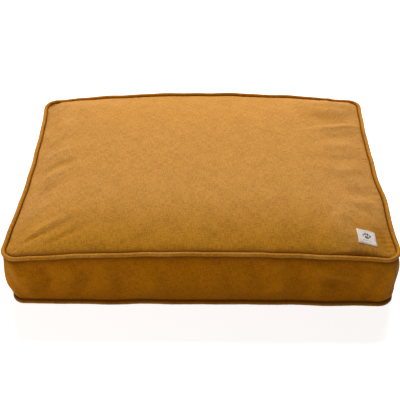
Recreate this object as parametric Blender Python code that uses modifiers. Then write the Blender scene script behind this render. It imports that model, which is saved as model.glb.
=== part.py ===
"""Boxed pet cushion bed: a piped cover, closed by a zip across its back, over a filled inner pad.

Metres, +Z up, the front towards -Y. The origin is on the floor, under the middle of the bed.
Each layer is lofted through rings of points that follow one plan outline, so that every layer
stays parallel to its neighbours when a size changes.
"""

import math
from collections import namedtuple

import bmesh
import bpy
from mathutils import Vector

# Overall sizes, measured over the piping
WIDTH = 0.800
DEPTH = 0.600
SEAM_HEIGHT = 0.129  # floor to the centre of the top piping at the four corners
CROWN_RISE = 0.043  # from there up to the middle of the top panel
CORNER_RADIUS = 0.035
BOTTOM_INSET = 0.003  # how far the bottom piping lies inside the top piping

# How each side gives way to the filling, at the middle of its length
Side = namedtuple("Side", "lift pinch bulge")  # seam raised, seam drawn in, border pushed out
SIDES = {
    "left": Side(0.008, 0.0135, 0.003),
    "front": Side(0.009, 0.006, 0.003),
    "right": Side(0.013, 0.0105, 0.003),
    "back": Side(0.027, 0.0095, 0.0),  # upright, so that the zip runs straight
}
BOTTOM_PINCH_SHARE = 0.2
CROWN_POWER = 4.5  # larger is flatter in the middle and steeper at the edges
BELLY_FLAT = 0.036  # height of the upright stretch in the middle of the border

# Cloth and clearances
FABRIC = 0.0012
LINER = 0.0008
TOUCH = 0.0003  # between pieces that are sewn or pressed together
PAD_GAP = 0.0015  # between the cover and the inner pad
LINER_GAP = 0.0005  # between the liner and the filling

# Piping: a cord wrapped in a bias strip, whose two edges are caught in the seam
PIPING_RADIUS = 0.0045
BIAS_STRIP = 0.0006
CORD_CLEARANCE = 0.0005
SEAM_ALLOWANCE = 0.012
BAND_SETBACK = 0.0005  # the border's edge, inwards from the cord's centre line

# Zip
JOIN_FROM_CORNER = 0.055  # from a back corner's round to the upright join beside the zip band
ZIP_FROM_JOIN = 0.020  # from that join to the end of the chain
ZIP_HEIGHT = 0.070
BAND_OPENING = 0.008  # between the folded edges that show the chain
TAPE_WIDTH = 0.016
TAPE = 0.0006
TAPE_PARTING = 0.0028
CHAIN_HALF_WIDTH = 0.003
CHAIN_THICKNESS = 0.0022
CHAIN_PARTING = 0.0003
CHAIN_EDGE = 0.0005  # width of the chain's softened edges
STOP_LENGTH = 0.0022
SLIDER_LENGTH = 0.010
SLIDER_WIDTH = 0.0092
SLIDER_PLATE = 0.0011
SLIDER_CLEARANCE = 0.0003
NECK_LENGTH = 0.002
NECK_WIDTH = 0.002
BRIDGE_LENGTH = 0.009
BRIDGE_WIDTH = 0.0018
BRIDGE_BAR = 0.0009
BRIDGE_OPENING = 0.002  # height under the bridge
TAB_LENGTH = 0.026
TAB_WIDTH = 0.0066
TAB = 0.001
TAB_BAR = 0.0012
TAB_SLOT_LENGTH = 0.0058
TAB_SLOT_WIDTH = 0.003
TAB_GRIP_LENGTH = 0.009
TAB_GRIP_WIDTH = 0.0026
TAB_RIM = 0.003  # between the grip hole and the tab's free end

# Labels
LABEL_SIZE = 0.037
LABEL_FROM_RIGHT = 0.067  # from the right edge to the label's centre
LABEL_FROM_FRONT = 0.050
LABEL_THICKNESS = 0.0006
LABEL_LIFT = 0.0007
LABEL_START = 0.02  # how far off the cloth a label's sheet starts before it is laid on it
CARE_LABEL_WIDTH = 0.030
CARE_LABEL_HEIGHT = 0.034
CARE_LABEL_FROM_JOIN = 0.095

# Smoothness
LENGTH_STEPS = 8
WIDTH_STEPS = 6
CORNER_STEPS = 4
BELLY_STEPS = 3
PIPING_STEPS = 12
CROWN_RINGS = (1.0, 0.93, 0.82, 0.66, 0.44, 0.2)
BASE_RINGS = (0.7, 0.3)
BASE_TURN = 0.008  # width of the bottom panel's turned-up edge

# Sizes that follow from those above
CROWN_HEIGHT = SEAM_HEIGHT + CROWN_RISE
BOTTOM_SEAM_HEIGHT = PIPING_RADIUS
BACK_RUN = WIDTH - 2 * CORNER_RADIUS  # the straight part of the back
ZIP_BAND_LENGTH = BACK_RUN - 2 * JOIN_FROM_CORNER
ZIP_LENGTH = ZIP_BAND_LENGTH - 2 * ZIP_FROM_JOIN
BAND_INSET = PIPING_RADIUS + BAND_SETBACK
LAYER_PITCH = BIAS_STRIP + TOUCH
FLANGE_INSET = BAND_INSET + FABRIC + TOUCH + BIAS_STRIP / 2
LIP_INSET = 2 * PIPING_RADIUS + TOUCH
LINER_DEPTH = FABRIC + PAD_GAP
FILLING_DEPTH = LINER_DEPTH + LINER + LINER_GAP
BAND_FACE_Y = DEPTH / 2 - BAND_INSET + SIDES["back"].bulge
TAPE_FACE_Y = BAND_FACE_Y - FABRIC - TOUCH
CHAIN_BACK_Y = TAPE_FACE_Y + TOUCH
CHAIN_FRONT_Y = CHAIN_BACK_Y + CHAIN_THICKNESS
SLIDER_X = ZIP_LENGTH / 2 - SLIDER_LENGTH / 2
NECK_FRONT_X = SLIDER_X + SLIDER_LENGTH / 2
CHAIN_END_X = NECK_FRONT_X - NECK_LENGTH - 2 * SLIDER_CLEARANCE
CHAIN_START_X = -ZIP_LENGTH / 2
SLIDER_FACE_Y = CHAIN_FRONT_Y + SLIDER_CLEARANCE + SLIDER_PLATE
SLIDER_BACK_Y = TAPE_FACE_Y - TAPE - SLIDER_CLEARANCE
PIVOT_Y = SLIDER_FACE_Y + BRIDGE_OPENING / 2

MUSTARD = (0.42, 0.20, 0.035)
MUSTARD_DARK = (0.34, 0.15, 0.025)
ZIP_BROWN = (0.30, 0.14, 0.03)
BRONZE = (0.45, 0.36, 0.24)
OFF_WHITE = (0.82, 0.79, 0.72)
LINER_WHITE = (0.78, 0.77, 0.74)
FIBRE_WHITE = (0.90, 0.90, 0.88)

Station = namedtuple("Station", "x y out_x out_y lift pinch belly")


def clear_scene():
    for old in list(bpy.data.objects):
        bpy.data.objects.remove(old, do_unlink=True)


def new_collection(name):
    collection = bpy.data.collections.new(name)
    bpy.context.scene.collection.children.link(collection)
    return collection


def colour_object(obj, colour, roughness=0.9, metallic=0.0):
    material = bpy.data.materials.new(obj.name)
    material.use_nodes = True
    shader = material.node_tree.nodes["Principled BSDF"]
    shader.inputs["Base Color"].default_value = (*colour, 1.0)
    shader.inputs["Roughness"].default_value = roughness
    shader.inputs["Metallic"].default_value = metallic
    obj.data.materials.append(material)


# ---------------------------------------------------------------- plan outline


def side_station(side, share):
    """A point on a straight side of the plan; share runs from 0 to 1, anticlockwise from above."""
    half_x, half_y = WIDTH / 2, DEPTH / 2
    run_x, run_y = half_x - CORNER_RADIUS, half_y - CORNER_RADIUS
    along = 2 * share - 1
    place = {
        "front": (along * run_x, -half_y, 0, -1),
        "right": (half_x, along * run_y, 1, 0),
        "back": (-along * run_x, half_y, 0, 1),
        "left": (-half_x, -along * run_y, -1, 0),
    }[side]
    bow = 4 * share * (1 - share)
    form = SIDES[side]
    return Station(*place, form.lift * bow, form.pinch * bow, BAND_INSET - form.bulge)


def side_stations(side, steps):
    return [side_station(side, k / steps) for k in range(1, steps)]


def corner_stations(before, after, start_angle):
    """A quarter circle that joins one side to the next, both ends included."""
    stations = []
    for k in range(CORNER_STEPS + 1):
        share = k / CORNER_STEPS
        angle = start_angle + share * math.pi / 2
        out_x, out_y = math.cos(angle), math.sin(angle)
        centre_x = math.copysign(WIDTH / 2 - CORNER_RADIUS, math.cos(start_angle + math.pi / 4))
        centre_y = math.copysign(DEPTH / 2 - CORNER_RADIUS, math.sin(start_angle + math.pi / 4))
        x, y = centre_x + CORNER_RADIUS * out_x, centre_y + CORNER_RADIUS * out_y
        bulge = SIDES[before].bulge * (1 - share) + SIDES[after].bulge * share
        stations.append(Station(x, y, out_x, out_y, 0.0, 0.0, BAND_INSET - bulge))
    return stations


def back_share(x):
    return 0.5 - x / BACK_RUN


def border_stations():
    """The plan from the left end of the zip band, round the front, to its right end."""
    stations = [side_station("back", back_share(-ZIP_BAND_LENGTH / 2))]
    stations += corner_stations("back", "left", math.pi / 2)
    stations += side_stations("left", WIDTH_STEPS)
    stations += corner_stations("left", "front", math.pi)
    stations += side_stations("front", LENGTH_STEPS)
    stations += corner_stations("front", "right", -math.pi / 2)
    stations += side_stations("right", WIDTH_STEPS)
    stations += corner_stations("right", "back", 0.0)
    stations.append(side_station("back", back_share(ZIP_BAND_LENGTH / 2)))
    return stations


def zip_stations(clearance):
    """The plan along the zip band, from its right end to its left end."""
    reach = ZIP_BAND_LENGTH / 2 - clearance
    xs = [reach - 2 * reach * k / LENGTH_STEPS for k in range(LENGTH_STEPS + 1)]
    return [side_station("back", back_share(x)) for x in xs]


def whole_outline():
    return border_stations() + zip_stations(0.0)[1:-1]


# ---------------------------------------------------------------- rings of points


def top_ring(stations, inset, rise):
    """Points that follow the top seam, moved inwards and upwards from the piping's centre line."""
    points = []
    for s in stations:
        inward = inset + s.pinch
        points.append(Vector((s.x - s.out_x * inward, s.y - s.out_y * inward, SEAM_HEIGHT + s.lift + rise)))
    return points


def bottom_ring(stations, inset, height):
    points = []
    for s in stations:
        inward = inset + BOTTOM_INSET + s.pinch * BOTTOM_PINCH_SHARE
        points.append(Vector((s.x - s.out_x * inward, s.y - s.out_y * inward, height)))
    return points


def belly_ring(stations, height):
    return [Vector((s.x - s.out_x * s.belly, s.y - s.out_y * s.belly, height)) for s in stations]


def bulge_between(seam_ring, middle_ring):
    """Rings that leave the seam at a slant and reach the border's upright middle smoothly."""
    rings = []
    for k in range(BELLY_STEPS + 1):
        up = k / BELLY_STEPS
        out = 1 - (1 - up) ** 2
        ring = []
        for a, b in zip(seam_ring, middle_ring):
            ring.append(Vector((a.x + (b.x - a.x) * out, a.y + (b.y - a.y) * out, a.z + (b.z - a.z) * up)))
        rings.append(ring)
    return rings


def crown_rings(stations, depth):
    """Rings from the middle of the top out to the seam, at a depth under the panel's face."""
    edge = top_ring(stations, LIP_INSET + depth, -depth)
    rings = []
    for share in reversed(CROWN_RINGS):
        fall = share**CROWN_POWER
        top = CROWN_HEIGHT - depth
        rings.append([Vector((p.x * share, p.y * share, top - (top - p.z) * fall)) for p in edge])
    return rings


def base_rings(stations, depth):
    """Rings from the bottom seam in to the middle of the base, at a depth above the base's face."""
    edge = bottom_ring(stations, LIP_INSET + depth, BOTTOM_SEAM_HEIGHT + depth)
    flat = bottom_ring(stations, LIP_INSET + depth + BASE_TURN, depth)
    return [edge, flat] + [[Vector((p.x * s, p.y * s, depth)) for p in flat] for s in BASE_RINGS]


# ---------------------------------------------------------------- making meshes


def loft(name, rings, loop=True, first_tip=None, last_tip=None):
    """Join rings by triangles that are all split the same way. Rings run from the top downwards."""
    mesh = bmesh.new()
    rows = [[mesh.verts.new(p) for p in ring] for ring in rings]
    count = len(rows[0])
    pairs = [(i, (i + 1) % count) for i in range(count if loop else count - 1)]
    for upper, lower in zip(rows, rows[1:]):
        for i, j in pairs:
            mesh.faces.new((upper[i], lower[i], lower[j]))
            mesh.faces.new((upper[i], lower[j], upper[j]))
    if first_tip:
        tip = mesh.verts.new(first_tip)
        for i, j in pairs:
            mesh.faces.new((tip, rows[0][i], rows[0][j]))
    if last_tip:
        tip = mesh.verts.new(last_tip)
        for i, j in pairs:
            mesh.faces.new((tip, rows[-1][j], rows[-1][i]))
    data = bpy.data.meshes.new(name)
    mesh.to_mesh(data)
    mesh.free()
    obj = bpy.data.objects.new(name, data)
    PARTS.objects.link(obj)
    return obj


def thicken(obj, thickness, offset=-1.0):
    solidify = obj.modifiers.new("cloth thickness", "SOLIDIFY")
    solidify.thickness = thickness
    solidify.offset = offset
    solidify.use_even_offset = True


def smooth(obj, degrees=40):
    obj.data.shade_smooth()
    obj.data.set_sharp_from_angle(angle=math.radians(degrees))


def cloth(name, rings, colour, thickness=FABRIC, offset=-1.0, **options):
    obj = loft(name, rings, **options)
    thicken(obj, thickness, offset)
    smooth(obj)
    colour_object(obj, colour)
    return obj


def box(name, low, high, collection, origin=None):
    """A box between two corners, whose object origin can be put on a joint's axis."""
    low, high = Vector(low), Vector(high)
    origin = Vector(origin) if origin else (low + high) / 2
    mesh = bmesh.new()
    bmesh.ops.create_cube(mesh, size=1.0)
    bmesh.ops.scale(mesh, vec=high - low, verts=mesh.verts)
    bmesh.ops.translate(mesh, vec=(low + high) / 2 - origin, verts=mesh.verts)
    data = bpy.data.meshes.new(name)
    mesh.to_mesh(data)
    mesh.free()
    obj = bpy.data.objects.new(name, data)
    obj.location = origin
    collection.objects.link(obj)
    return obj


def cut_or_join(obj, tool, operation):
    tool.hide_render = True
    tool.display_type = "WIRE"
    modifier = obj.modifiers.new(tool.name, "BOOLEAN")
    modifier.operation = operation
    modifier.object = tool


def soften(obj, width):
    bevel = obj.modifiers.new("soft edges", "BEVEL")
    bevel.width = width


def keep_on(child, parent):
    """Parent a piece without moving it from where it was modelled."""
    child.parent = parent
    child.location = child.location - parent.location


# ---------------------------------------------------------------- cover


def make_top_panel(outline):
    rings = crown_rings(outline, 0.0)
    rings.append(top_ring(outline, LIP_INSET, -PIPING_RADIUS - SEAM_ALLOWANCE))
    return cloth("top_panel", rings, MUSTARD, first_tip=(0, 0, CROWN_HEIGHT))


def make_bottom_panel(outline):
    lip = bottom_ring(outline, LIP_INSET, BOTTOM_SEAM_HEIGHT + PIPING_RADIUS + SEAM_ALLOWANCE)
    rings = [lip] + base_rings(outline, 0.0)
    return cloth("bottom_panel", rings, MUSTARD, last_tip=(0, 0, 0))


def upper_border_rings(stations, lowest):
    seam = top_ring(stations, BAND_INSET, -PIPING_RADIUS - TOUCH)
    middle = belly_ring(stations, ZIP_HEIGHT + BELLY_FLAT / 2)
    return bulge_between(seam, middle) + [belly_ring(stations, lowest)]


def lower_border_rings(stations, highest):
    seam = bottom_ring(stations, BAND_INSET, BOTTOM_SEAM_HEIGHT + PIPING_RADIUS + TOUCH)
    middle = belly_ring(stations, ZIP_HEIGHT - BELLY_FLAT / 2)
    return [belly_ring(stations, highest)] + bulge_between(seam, middle)[::-1]


def make_border_band():
    stations = border_stations()
    rings = upper_border_rings(stations, ZIP_HEIGHT) + lower_border_rings(stations, ZIP_HEIGHT)[1:]
    return cloth("border_band", rings, MUSTARD_DARK, loop=False)


def make_zip_bands():
    stations = zip_stations(TOUCH)
    upper = upper_border_rings(stations, ZIP_HEIGHT + BAND_OPENING / 2)
    lower = lower_border_rings(stations, ZIP_HEIGHT - BAND_OPENING / 2)
    cloth("zip_band_upper", upper, MUSTARD_DARK, loop=False)
    return cloth("zip_band_lower", lower, MUSTARD_DARK, loop=False)


def piping_section():
    """The bias strip's path round the cord, as (inset, rise) from the piping's outer edge and centre."""
    radius = PIPING_RADIUS - BIAS_STRIP / 2
    outer_x, inner_x = FLANGE_INSET, FLANGE_INSET + LAYER_PITCH
    first = math.asin((outer_x - PIPING_RADIUS) / radius)
    last = math.asin((inner_x - PIPING_RADIUS) / radius) - 2 * math.pi
    path = [(outer_x, -PIPING_RADIUS - SEAM_ALLOWANCE)]
    for k in range(PIPING_STEPS + 1):
        angle = first + (last - first) * k / PIPING_STEPS
        path.append((PIPING_RADIUS + radius * math.sin(angle), -radius * math.cos(angle)))
    path.append((inner_x, -PIPING_RADIUS - SEAM_ALLOWANCE))
    return path


def make_piping_covers(outline):
    path = piping_section()
    top = [top_ring(outline, inset, rise) for inset, rise in path]
    bottom = [bottom_ring(outline, inset, BOTTOM_SEAM_HEIGHT - rise) for inset, rise in path]
    cloth("top_piping_cover", top, MUSTARD_DARK, thickness=BIAS_STRIP, offset=0.0)
    cloth("bottom_piping_cover", bottom[::-1], MUSTARD_DARK, thickness=BIAS_STRIP, offset=0.0)


def make_cord(name, points):
    curve = bpy.data.curves.new(name, "CURVE")
    curve.dimensions = "3D"
    curve.twist_mode = "Z_UP"
    curve.bevel_depth = PIPING_RADIUS - BIAS_STRIP - CORD_CLEARANCE
    curve.bevel_resolution = 2
    spline = curve.splines.new("POLY")
    spline.points.add(len(points) - 1)
    for point, place in zip(spline.points, points):
        point.co = (*place, 1.0)
    spline.use_cyclic_u = True
    obj = bpy.data.objects.new(name, curve)
    PARTS.objects.link(obj)
    colour_object(obj, FIBRE_WHITE)


def make_cords(outline):
    make_cord("top_piping_cord", top_ring(outline, PIPING_RADIUS, 0.0))
    make_cord("bottom_piping_cord", bottom_ring(outline, PIPING_RADIUS, BOTTOM_SEAM_HEIGHT))


# ---------------------------------------------------------------- inner pad


def make_liner(outline):
    top = crown_rings(outline, LINER_DEPTH)
    cloth("liner_top", top, LINER_WHITE, LINER, first_tip=(0, 0, CROWN_HEIGHT - LINER_DEPTH))
    base = base_rings(outline, LINER_DEPTH)
    cloth("liner_bottom", base, LINER_WHITE, LINER, last_tip=(0, 0, LINER_DEPTH))
    below_top = -LINER_DEPTH - LINER - LINER_GAP
    above_base = BOTTOM_SEAM_HEIGHT + LINER_DEPTH + LINER + LINER_GAP
    inset = LIP_INSET + LINER_DEPTH
    wall = [top_ring(outline, inset, below_top), bottom_ring(outline, inset, above_base)]
    cloth("liner_border", wall, LINER_WHITE, LINER)


def make_filling(outline):
    rings = crown_rings(outline, FILLING_DEPTH) + base_rings(outline, FILLING_DEPTH)
    tips = {"first_tip": (0, 0, CROWN_HEIGHT - FILLING_DEPTH), "last_tip": (0, 0, FILLING_DEPTH)}
    obj = loft("filling", rings, **tips)
    smooth(obj)
    colour_object(obj, FIBRE_WHITE, roughness=1.0)


# ---------------------------------------------------------------- zip


def zip_strip(name, x_range, y_range, z_range, side, colour, metallic=0.0):
    """A bar that runs along the zip on its upper (side 1) or lower (side -1) half."""
    heights = sorted(ZIP_HEIGHT + side * z for z in z_range)
    low = (x_range[0], y_range[0], heights[0])
    high = (x_range[1], y_range[1], heights[1])
    obj = box(name, low, high, PARTS)
    colour_object(obj, colour, roughness=0.6, metallic=metallic)
    return obj


def make_zip_halves():
    tape_x = (-ZIP_BAND_LENGTH / 2, ZIP_BAND_LENGTH / 2)
    tape_y = (TAPE_FACE_Y - TAPE, TAPE_FACE_Y)
    tape_z = (TAPE_PARTING / 2, TAPE_PARTING / 2 + TAPE_WIDTH)
    chain_x = (CHAIN_START_X, CHAIN_END_X)
    chain_y = (CHAIN_BACK_Y, CHAIN_FRONT_Y)
    chain_z = (CHAIN_PARTING / 2, CHAIN_HALF_WIDTH)
    stop_x = (NECK_FRONT_X + SLIDER_CLEARANCE, NECK_FRONT_X + SLIDER_CLEARANCE + STOP_LENGTH)
    for word, side in (("upper", 1), ("lower", -1)):
        zip_strip(f"zip_tape_{word}", tape_x, tape_y, tape_z, side, ZIP_BROWN)
        chain = zip_strip(f"zip_coil_{word}", chain_x, chain_y, chain_z, side, ZIP_BROWN)
        soften(chain, CHAIN_EDGE)
        zip_strip(f"zip_top_stop_{word}", stop_x, chain_y, chain_z, side, BRONZE, 1.0)


def make_bottom_stop():
    end = CHAIN_START_X - TOUCH
    low = (end - STOP_LENGTH, CHAIN_BACK_Y, ZIP_HEIGHT - CHAIN_HALF_WIDTH)
    high = (end, CHAIN_FRONT_Y, ZIP_HEIGHT + CHAIN_HALF_WIDTH)
    stop = box("zip_bottom_stop", low, high, PARTS)
    colour_object(stop, BRONZE, 0.35, 1.0)


def make_slider():
    """Two plates that ride outside and inside the chain, joined by a neck at their leading end."""
    half_length, half_width = SLIDER_LENGTH / 2, SLIDER_WIDTH / 2
    pivot = (SLIDER_X, PIVOT_Y, ZIP_HEIGHT)
    rear, lead = SLIDER_X - half_length, SLIDER_X + half_length
    low, high = ZIP_HEIGHT - half_width, ZIP_HEIGHT + half_width
    slider = box(
        "zip_slider",
        (rear, SLIDER_FACE_Y - SLIDER_PLATE, low),
        (lead, SLIDER_FACE_Y, high),
        PARTS,
        pivot,
    )
    inner = box(
        "slider_inner_plate",
        (rear, SLIDER_BACK_Y - SLIDER_PLATE, low),
        (lead, SLIDER_BACK_Y, high),
        TOOLS,
    )
    overlap = SLIDER_PLATE / 2
    neck = box(
        "slider_neck",
        (lead - NECK_LENGTH, SLIDER_BACK_Y - overlap, ZIP_HEIGHT - NECK_WIDTH / 2),
        (lead, SLIDER_FACE_Y - overlap, ZIP_HEIGHT + NECK_WIDTH / 2),
        TOOLS,
    )
    bridge_top = SLIDER_FACE_Y + BRIDGE_OPENING + BRIDGE_BAR
    bridge = box(
        "slider_bridge",
        (SLIDER_X - BRIDGE_LENGTH / 2, SLIDER_FACE_Y - overlap, ZIP_HEIGHT - BRIDGE_WIDTH / 2),
        (SLIDER_X + BRIDGE_LENGTH / 2, bridge_top, ZIP_HEIGHT + BRIDGE_WIDTH / 2),
        TOOLS,
    )
    opening_half = BRIDGE_LENGTH / 2 - BRIDGE_BAR
    under_bridge = box(
        "slider_bridge_opening",
        (SLIDER_X - opening_half, SLIDER_FACE_Y, ZIP_HEIGHT - BRIDGE_WIDTH),
        (SLIDER_X + opening_half, SLIDER_FACE_Y + BRIDGE_OPENING, ZIP_HEIGHT + BRIDGE_WIDTH),
        TOOLS,
    )
    cut_or_join(bridge, under_bridge, "DIFFERENCE")
    for piece in (neck, inner, bridge):
        cut_or_join(slider, piece, "UNION")
    colour_object(slider, BRONZE, 0.35, 1.0)
    return slider


def make_pull_tab(slider):
    """A flat tab whose end bar lies under the bridge, resting back over the closed chain."""
    pivot = (SLIDER_X, PIVOT_Y, ZIP_HEIGHT)
    bar_edge = SLIDER_X + TAB_BAR / 2
    low_y, high_y = PIVOT_Y - TAB / 2, PIVOT_Y + TAB / 2
    tab = box(
        "zip_pull_tab",
        (bar_edge - TAB_LENGTH, low_y, ZIP_HEIGHT - TAB_WIDTH / 2),
        (bar_edge, high_y, ZIP_HEIGHT + TAB_WIDTH / 2),
        PARTS,
        pivot,
    )
    slot_end = SLIDER_X - TAB_BAR / 2
    grip_end = bar_edge - TAB_LENGTH + TAB_RIM
    openings = (
        ("tab_slot", slot_end - TAB_SLOT_LENGTH, slot_end, TAB_SLOT_WIDTH),
        ("tab_grip_hole", grip_end, grip_end + TAB_GRIP_LENGTH, TAB_GRIP_WIDTH),
    )
    for name, start, end, width in openings:
        low = (start, low_y - TAB, ZIP_HEIGHT - width / 2)
        high = (end, high_y + TAB, ZIP_HEIGHT + width / 2)
        cut_or_join(tab, box(name, low, high, TOOLS), "DIFFERENCE")
    colour_object(tab, BRONZE, 0.35, 1.0)
    keep_on(tab, slider)


# ---------------------------------------------------------------- labels


def make_sewn_label(name, target, centre, rotation, size):
    """A small woven patch that follows the cloth under it."""
    mesh = bmesh.new()
    bmesh.ops.create_grid(mesh, x_segments=4, y_segments=4, size=0.5)
    bmesh.ops.scale(mesh, vec=(size[0], size[1], 1.0), verts=mesh.verts)
    data = bpy.data.meshes.new(name)
    mesh.to_mesh(data)
    mesh.free()
    obj = bpy.data.objects.new(name, data)
    obj.location = centre
    obj.rotation_euler = rotation
    PARTS.objects.link(obj)
    wrap = obj.modifiers.new("lie on the cloth", "SHRINKWRAP")
    wrap.target = target
    wrap.wrap_method = "PROJECT"
    wrap.use_project_z = True
    wrap.use_positive_direction = False
    wrap.use_negative_direction = True
    wrap.offset = LABEL_LIFT
    thicken(obj, LABEL_THICKNESS, 1.0)
    colour_object(obj, OFF_WHITE)


def make_labels(top_panel, lower_band):
    label_x, label_y = WIDTH / 2 - LABEL_FROM_RIGHT, -DEPTH / 2 + LABEL_FROM_FRONT
    front_right = (label_x, label_y, CROWN_HEIGHT + LABEL_START)
    make_sewn_label("woven_label", top_panel, front_right, (0, 0, 0), (LABEL_SIZE, LABEL_SIZE))
    foot = BOTTOM_SEAM_HEIGHT + PIPING_RADIUS + 2 * TOUCH
    care_x = ZIP_BAND_LENGTH / 2 - CARE_LABEL_FROM_JOIN
    behind = (care_x, DEPTH / 2 + LABEL_START, foot + CARE_LABEL_HEIGHT / 2)
    facing_back = (-math.pi / 2, 0, 0)
    care_size = (CARE_LABEL_WIDTH, CARE_LABEL_HEIGHT)
    make_sewn_label("care_label", lower_band, behind, facing_back, care_size)


clear_scene()
PARTS = new_collection("pet_cushion_bed")
TOOLS = new_collection("cutting_tools")
OUTLINE = whole_outline()

panel = make_top_panel(OUTLINE)
make_bottom_panel(OUTLINE)
make_border_band()
zip_band_lower = make_zip_bands()
make_piping_covers(OUTLINE)
make_cords(OUTLINE)
make_liner(OUTLINE)
make_filling(OUTLINE)
make_zip_halves()
make_bottom_stop()
make_pull_tab(make_slider())
make_labels(panel, zip_band_lower)
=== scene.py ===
"""Boxed pet cushion bed: a piped mustard canvas cover, zipped across its back, over a filled pad.

Metres, +Z up, the front towards -Y. The origin is on the floor, under the middle of the bed.
"""

import math
from collections import namedtuple

import bmesh
import bpy
import numpy as np
from mathutils import Matrix, Vector


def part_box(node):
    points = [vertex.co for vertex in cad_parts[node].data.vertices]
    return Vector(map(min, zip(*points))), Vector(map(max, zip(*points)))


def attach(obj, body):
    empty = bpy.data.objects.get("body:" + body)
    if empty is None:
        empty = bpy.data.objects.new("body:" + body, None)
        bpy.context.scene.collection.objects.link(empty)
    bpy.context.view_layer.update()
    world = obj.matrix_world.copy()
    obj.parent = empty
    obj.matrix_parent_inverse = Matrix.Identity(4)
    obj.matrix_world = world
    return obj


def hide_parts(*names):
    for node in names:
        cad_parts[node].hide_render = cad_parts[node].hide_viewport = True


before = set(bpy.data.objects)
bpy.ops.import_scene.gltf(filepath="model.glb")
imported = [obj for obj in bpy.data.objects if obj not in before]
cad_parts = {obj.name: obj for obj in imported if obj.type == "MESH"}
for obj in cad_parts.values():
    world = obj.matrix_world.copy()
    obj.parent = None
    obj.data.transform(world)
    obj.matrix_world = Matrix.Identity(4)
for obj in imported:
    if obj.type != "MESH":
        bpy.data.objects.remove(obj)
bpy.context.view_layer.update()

# ---------------------------------------------------------------- sizes taken from the frame

piping_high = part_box("top_piping_cover")[1]
crown_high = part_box("top_panel")[1]
coil_low, coil_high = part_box("zip_coil_upper")
coil_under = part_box("zip_coil_lower")[0]
band_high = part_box("zip_band_upper")[1]
tape_low, tape_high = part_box("zip_tape_upper")
care_low, care_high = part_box("care_label")
label_low, label_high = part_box("woven_label")

HALF_WIDTH = round(piping_high.x, 3)
HALF_DEPTH = round(piping_high.y, 3)
CROWN_TOP = crown_high.z
ZIP_HEIGHT = (coil_high.z + coil_under.z) / 2
BAND_END = round(band_high.x, 3)

# How the cover is cut and sewn
SEAM_HEIGHT = 0.129  # centre of the top piping at the four corners
CORNER_RADIUS = 0.035
BOTTOM_INSET = 0.003  # how far the bottom seam lies inside the top one
PIPING_RADIUS = 0.0045
SEAM_ALLOWANCE = 0.012
FABRIC = 0.0012
BIAS_STRIP = 0.0006  # thickness of the strip round the piping cord
TOUCH = 0.0003  # gap between two pieces that meet
BAND_INSET = 0.005  # border, panel edge and piping flange, each from the piping's outer edge
LIP_INSET = 0.0093
FLANGE_INSET = 0.0068
LAYER_PITCH = 0.0009  # from one leaf of the flange to the other
BELLY_HALF = 0.018  # half the height of the upright stretch in the middle of the border
BOTTOM_PINCH_SHARE = 0.2
BAND_GAP = 0.004  # from the zip's middle to each folded edge

# How far each side's seam rises and is drawn in at its middle, and how far its border bellies out
Side = namedtuple("Side", "lift pinch bulge")
LEFT = Side(0.008, 0.0135, 0.0015)
FRONT = Side(0.009, 0.006, 0.003)
RIGHT = Side(0.013, 0.0105, 0.003)
BACK = Side(0.027, 0.0095, 0.0)

RUN_X = HALF_WIDTH - CORNER_RADIUS
RUN_Y = HALF_DEPTH - CORNER_RADIUS
CORNER_ARC = CORNER_RADIUS * math.pi / 2
STRETCHES = (0, RUN_X, CORNER_ARC, 2 * RUN_Y, CORNER_ARC, 2 * RUN_X, CORNER_ARC, 2 * RUN_Y, CORNER_ARC, RUN_X)
TURNS = np.cumsum(STRETCHES)
ROUND = TURNS[-1]

PANEL_HALF_X = HALF_WIDTH - LIP_INSET
PANEL_HALF_Y = HALF_DEPTH - LIP_INSET
PANEL_CORNER = CORNER_RADIUS - LIP_INSET

Outline = namedtuple("Outline", "x y out_x out_y lift pinch belly sway")
RIGHT_BULGE = 0.0062  # the right seam bows out again beside the label
JOIN_LUMP = 0.0022  # where the piping's two ends overlap


def bell(off, width):
    """One at the middle and less to both sides: e to the minus square of off over width."""
    return np.exp(-((off / width) ** 2))


# ---------------------------------------------------------------- the seams' lines


def seam_sway(x, y):
    """Hand-sewn unevenness of a seam at a place in plan: sums of a few slow sine waves. Returns how
    far it strays inwards, how far it rises, and how far the right seam bows out."""
    inward = 0.0005 * np.sin(41 * x + 23 * y + 0.6) + 0.0004 * np.sin(67 * y - 58 * x + 2.1)
    rise = 0.0006 * np.sin(37 * x - 49 * y + 1.3) + 0.0004 * np.sin(83 * x + 71 * y + 0.2)
    lump = JOIN_LUMP * bell(x - 0.322, 0.009) * bell(y - 0.29, 0.02)
    bulge = RIGHT_BULGE * bell(y + 0.128, 0.042) * np.clip(x / 0.1 - 2.5, 0, 1)
    return inward, rise + lump, bulge


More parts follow.
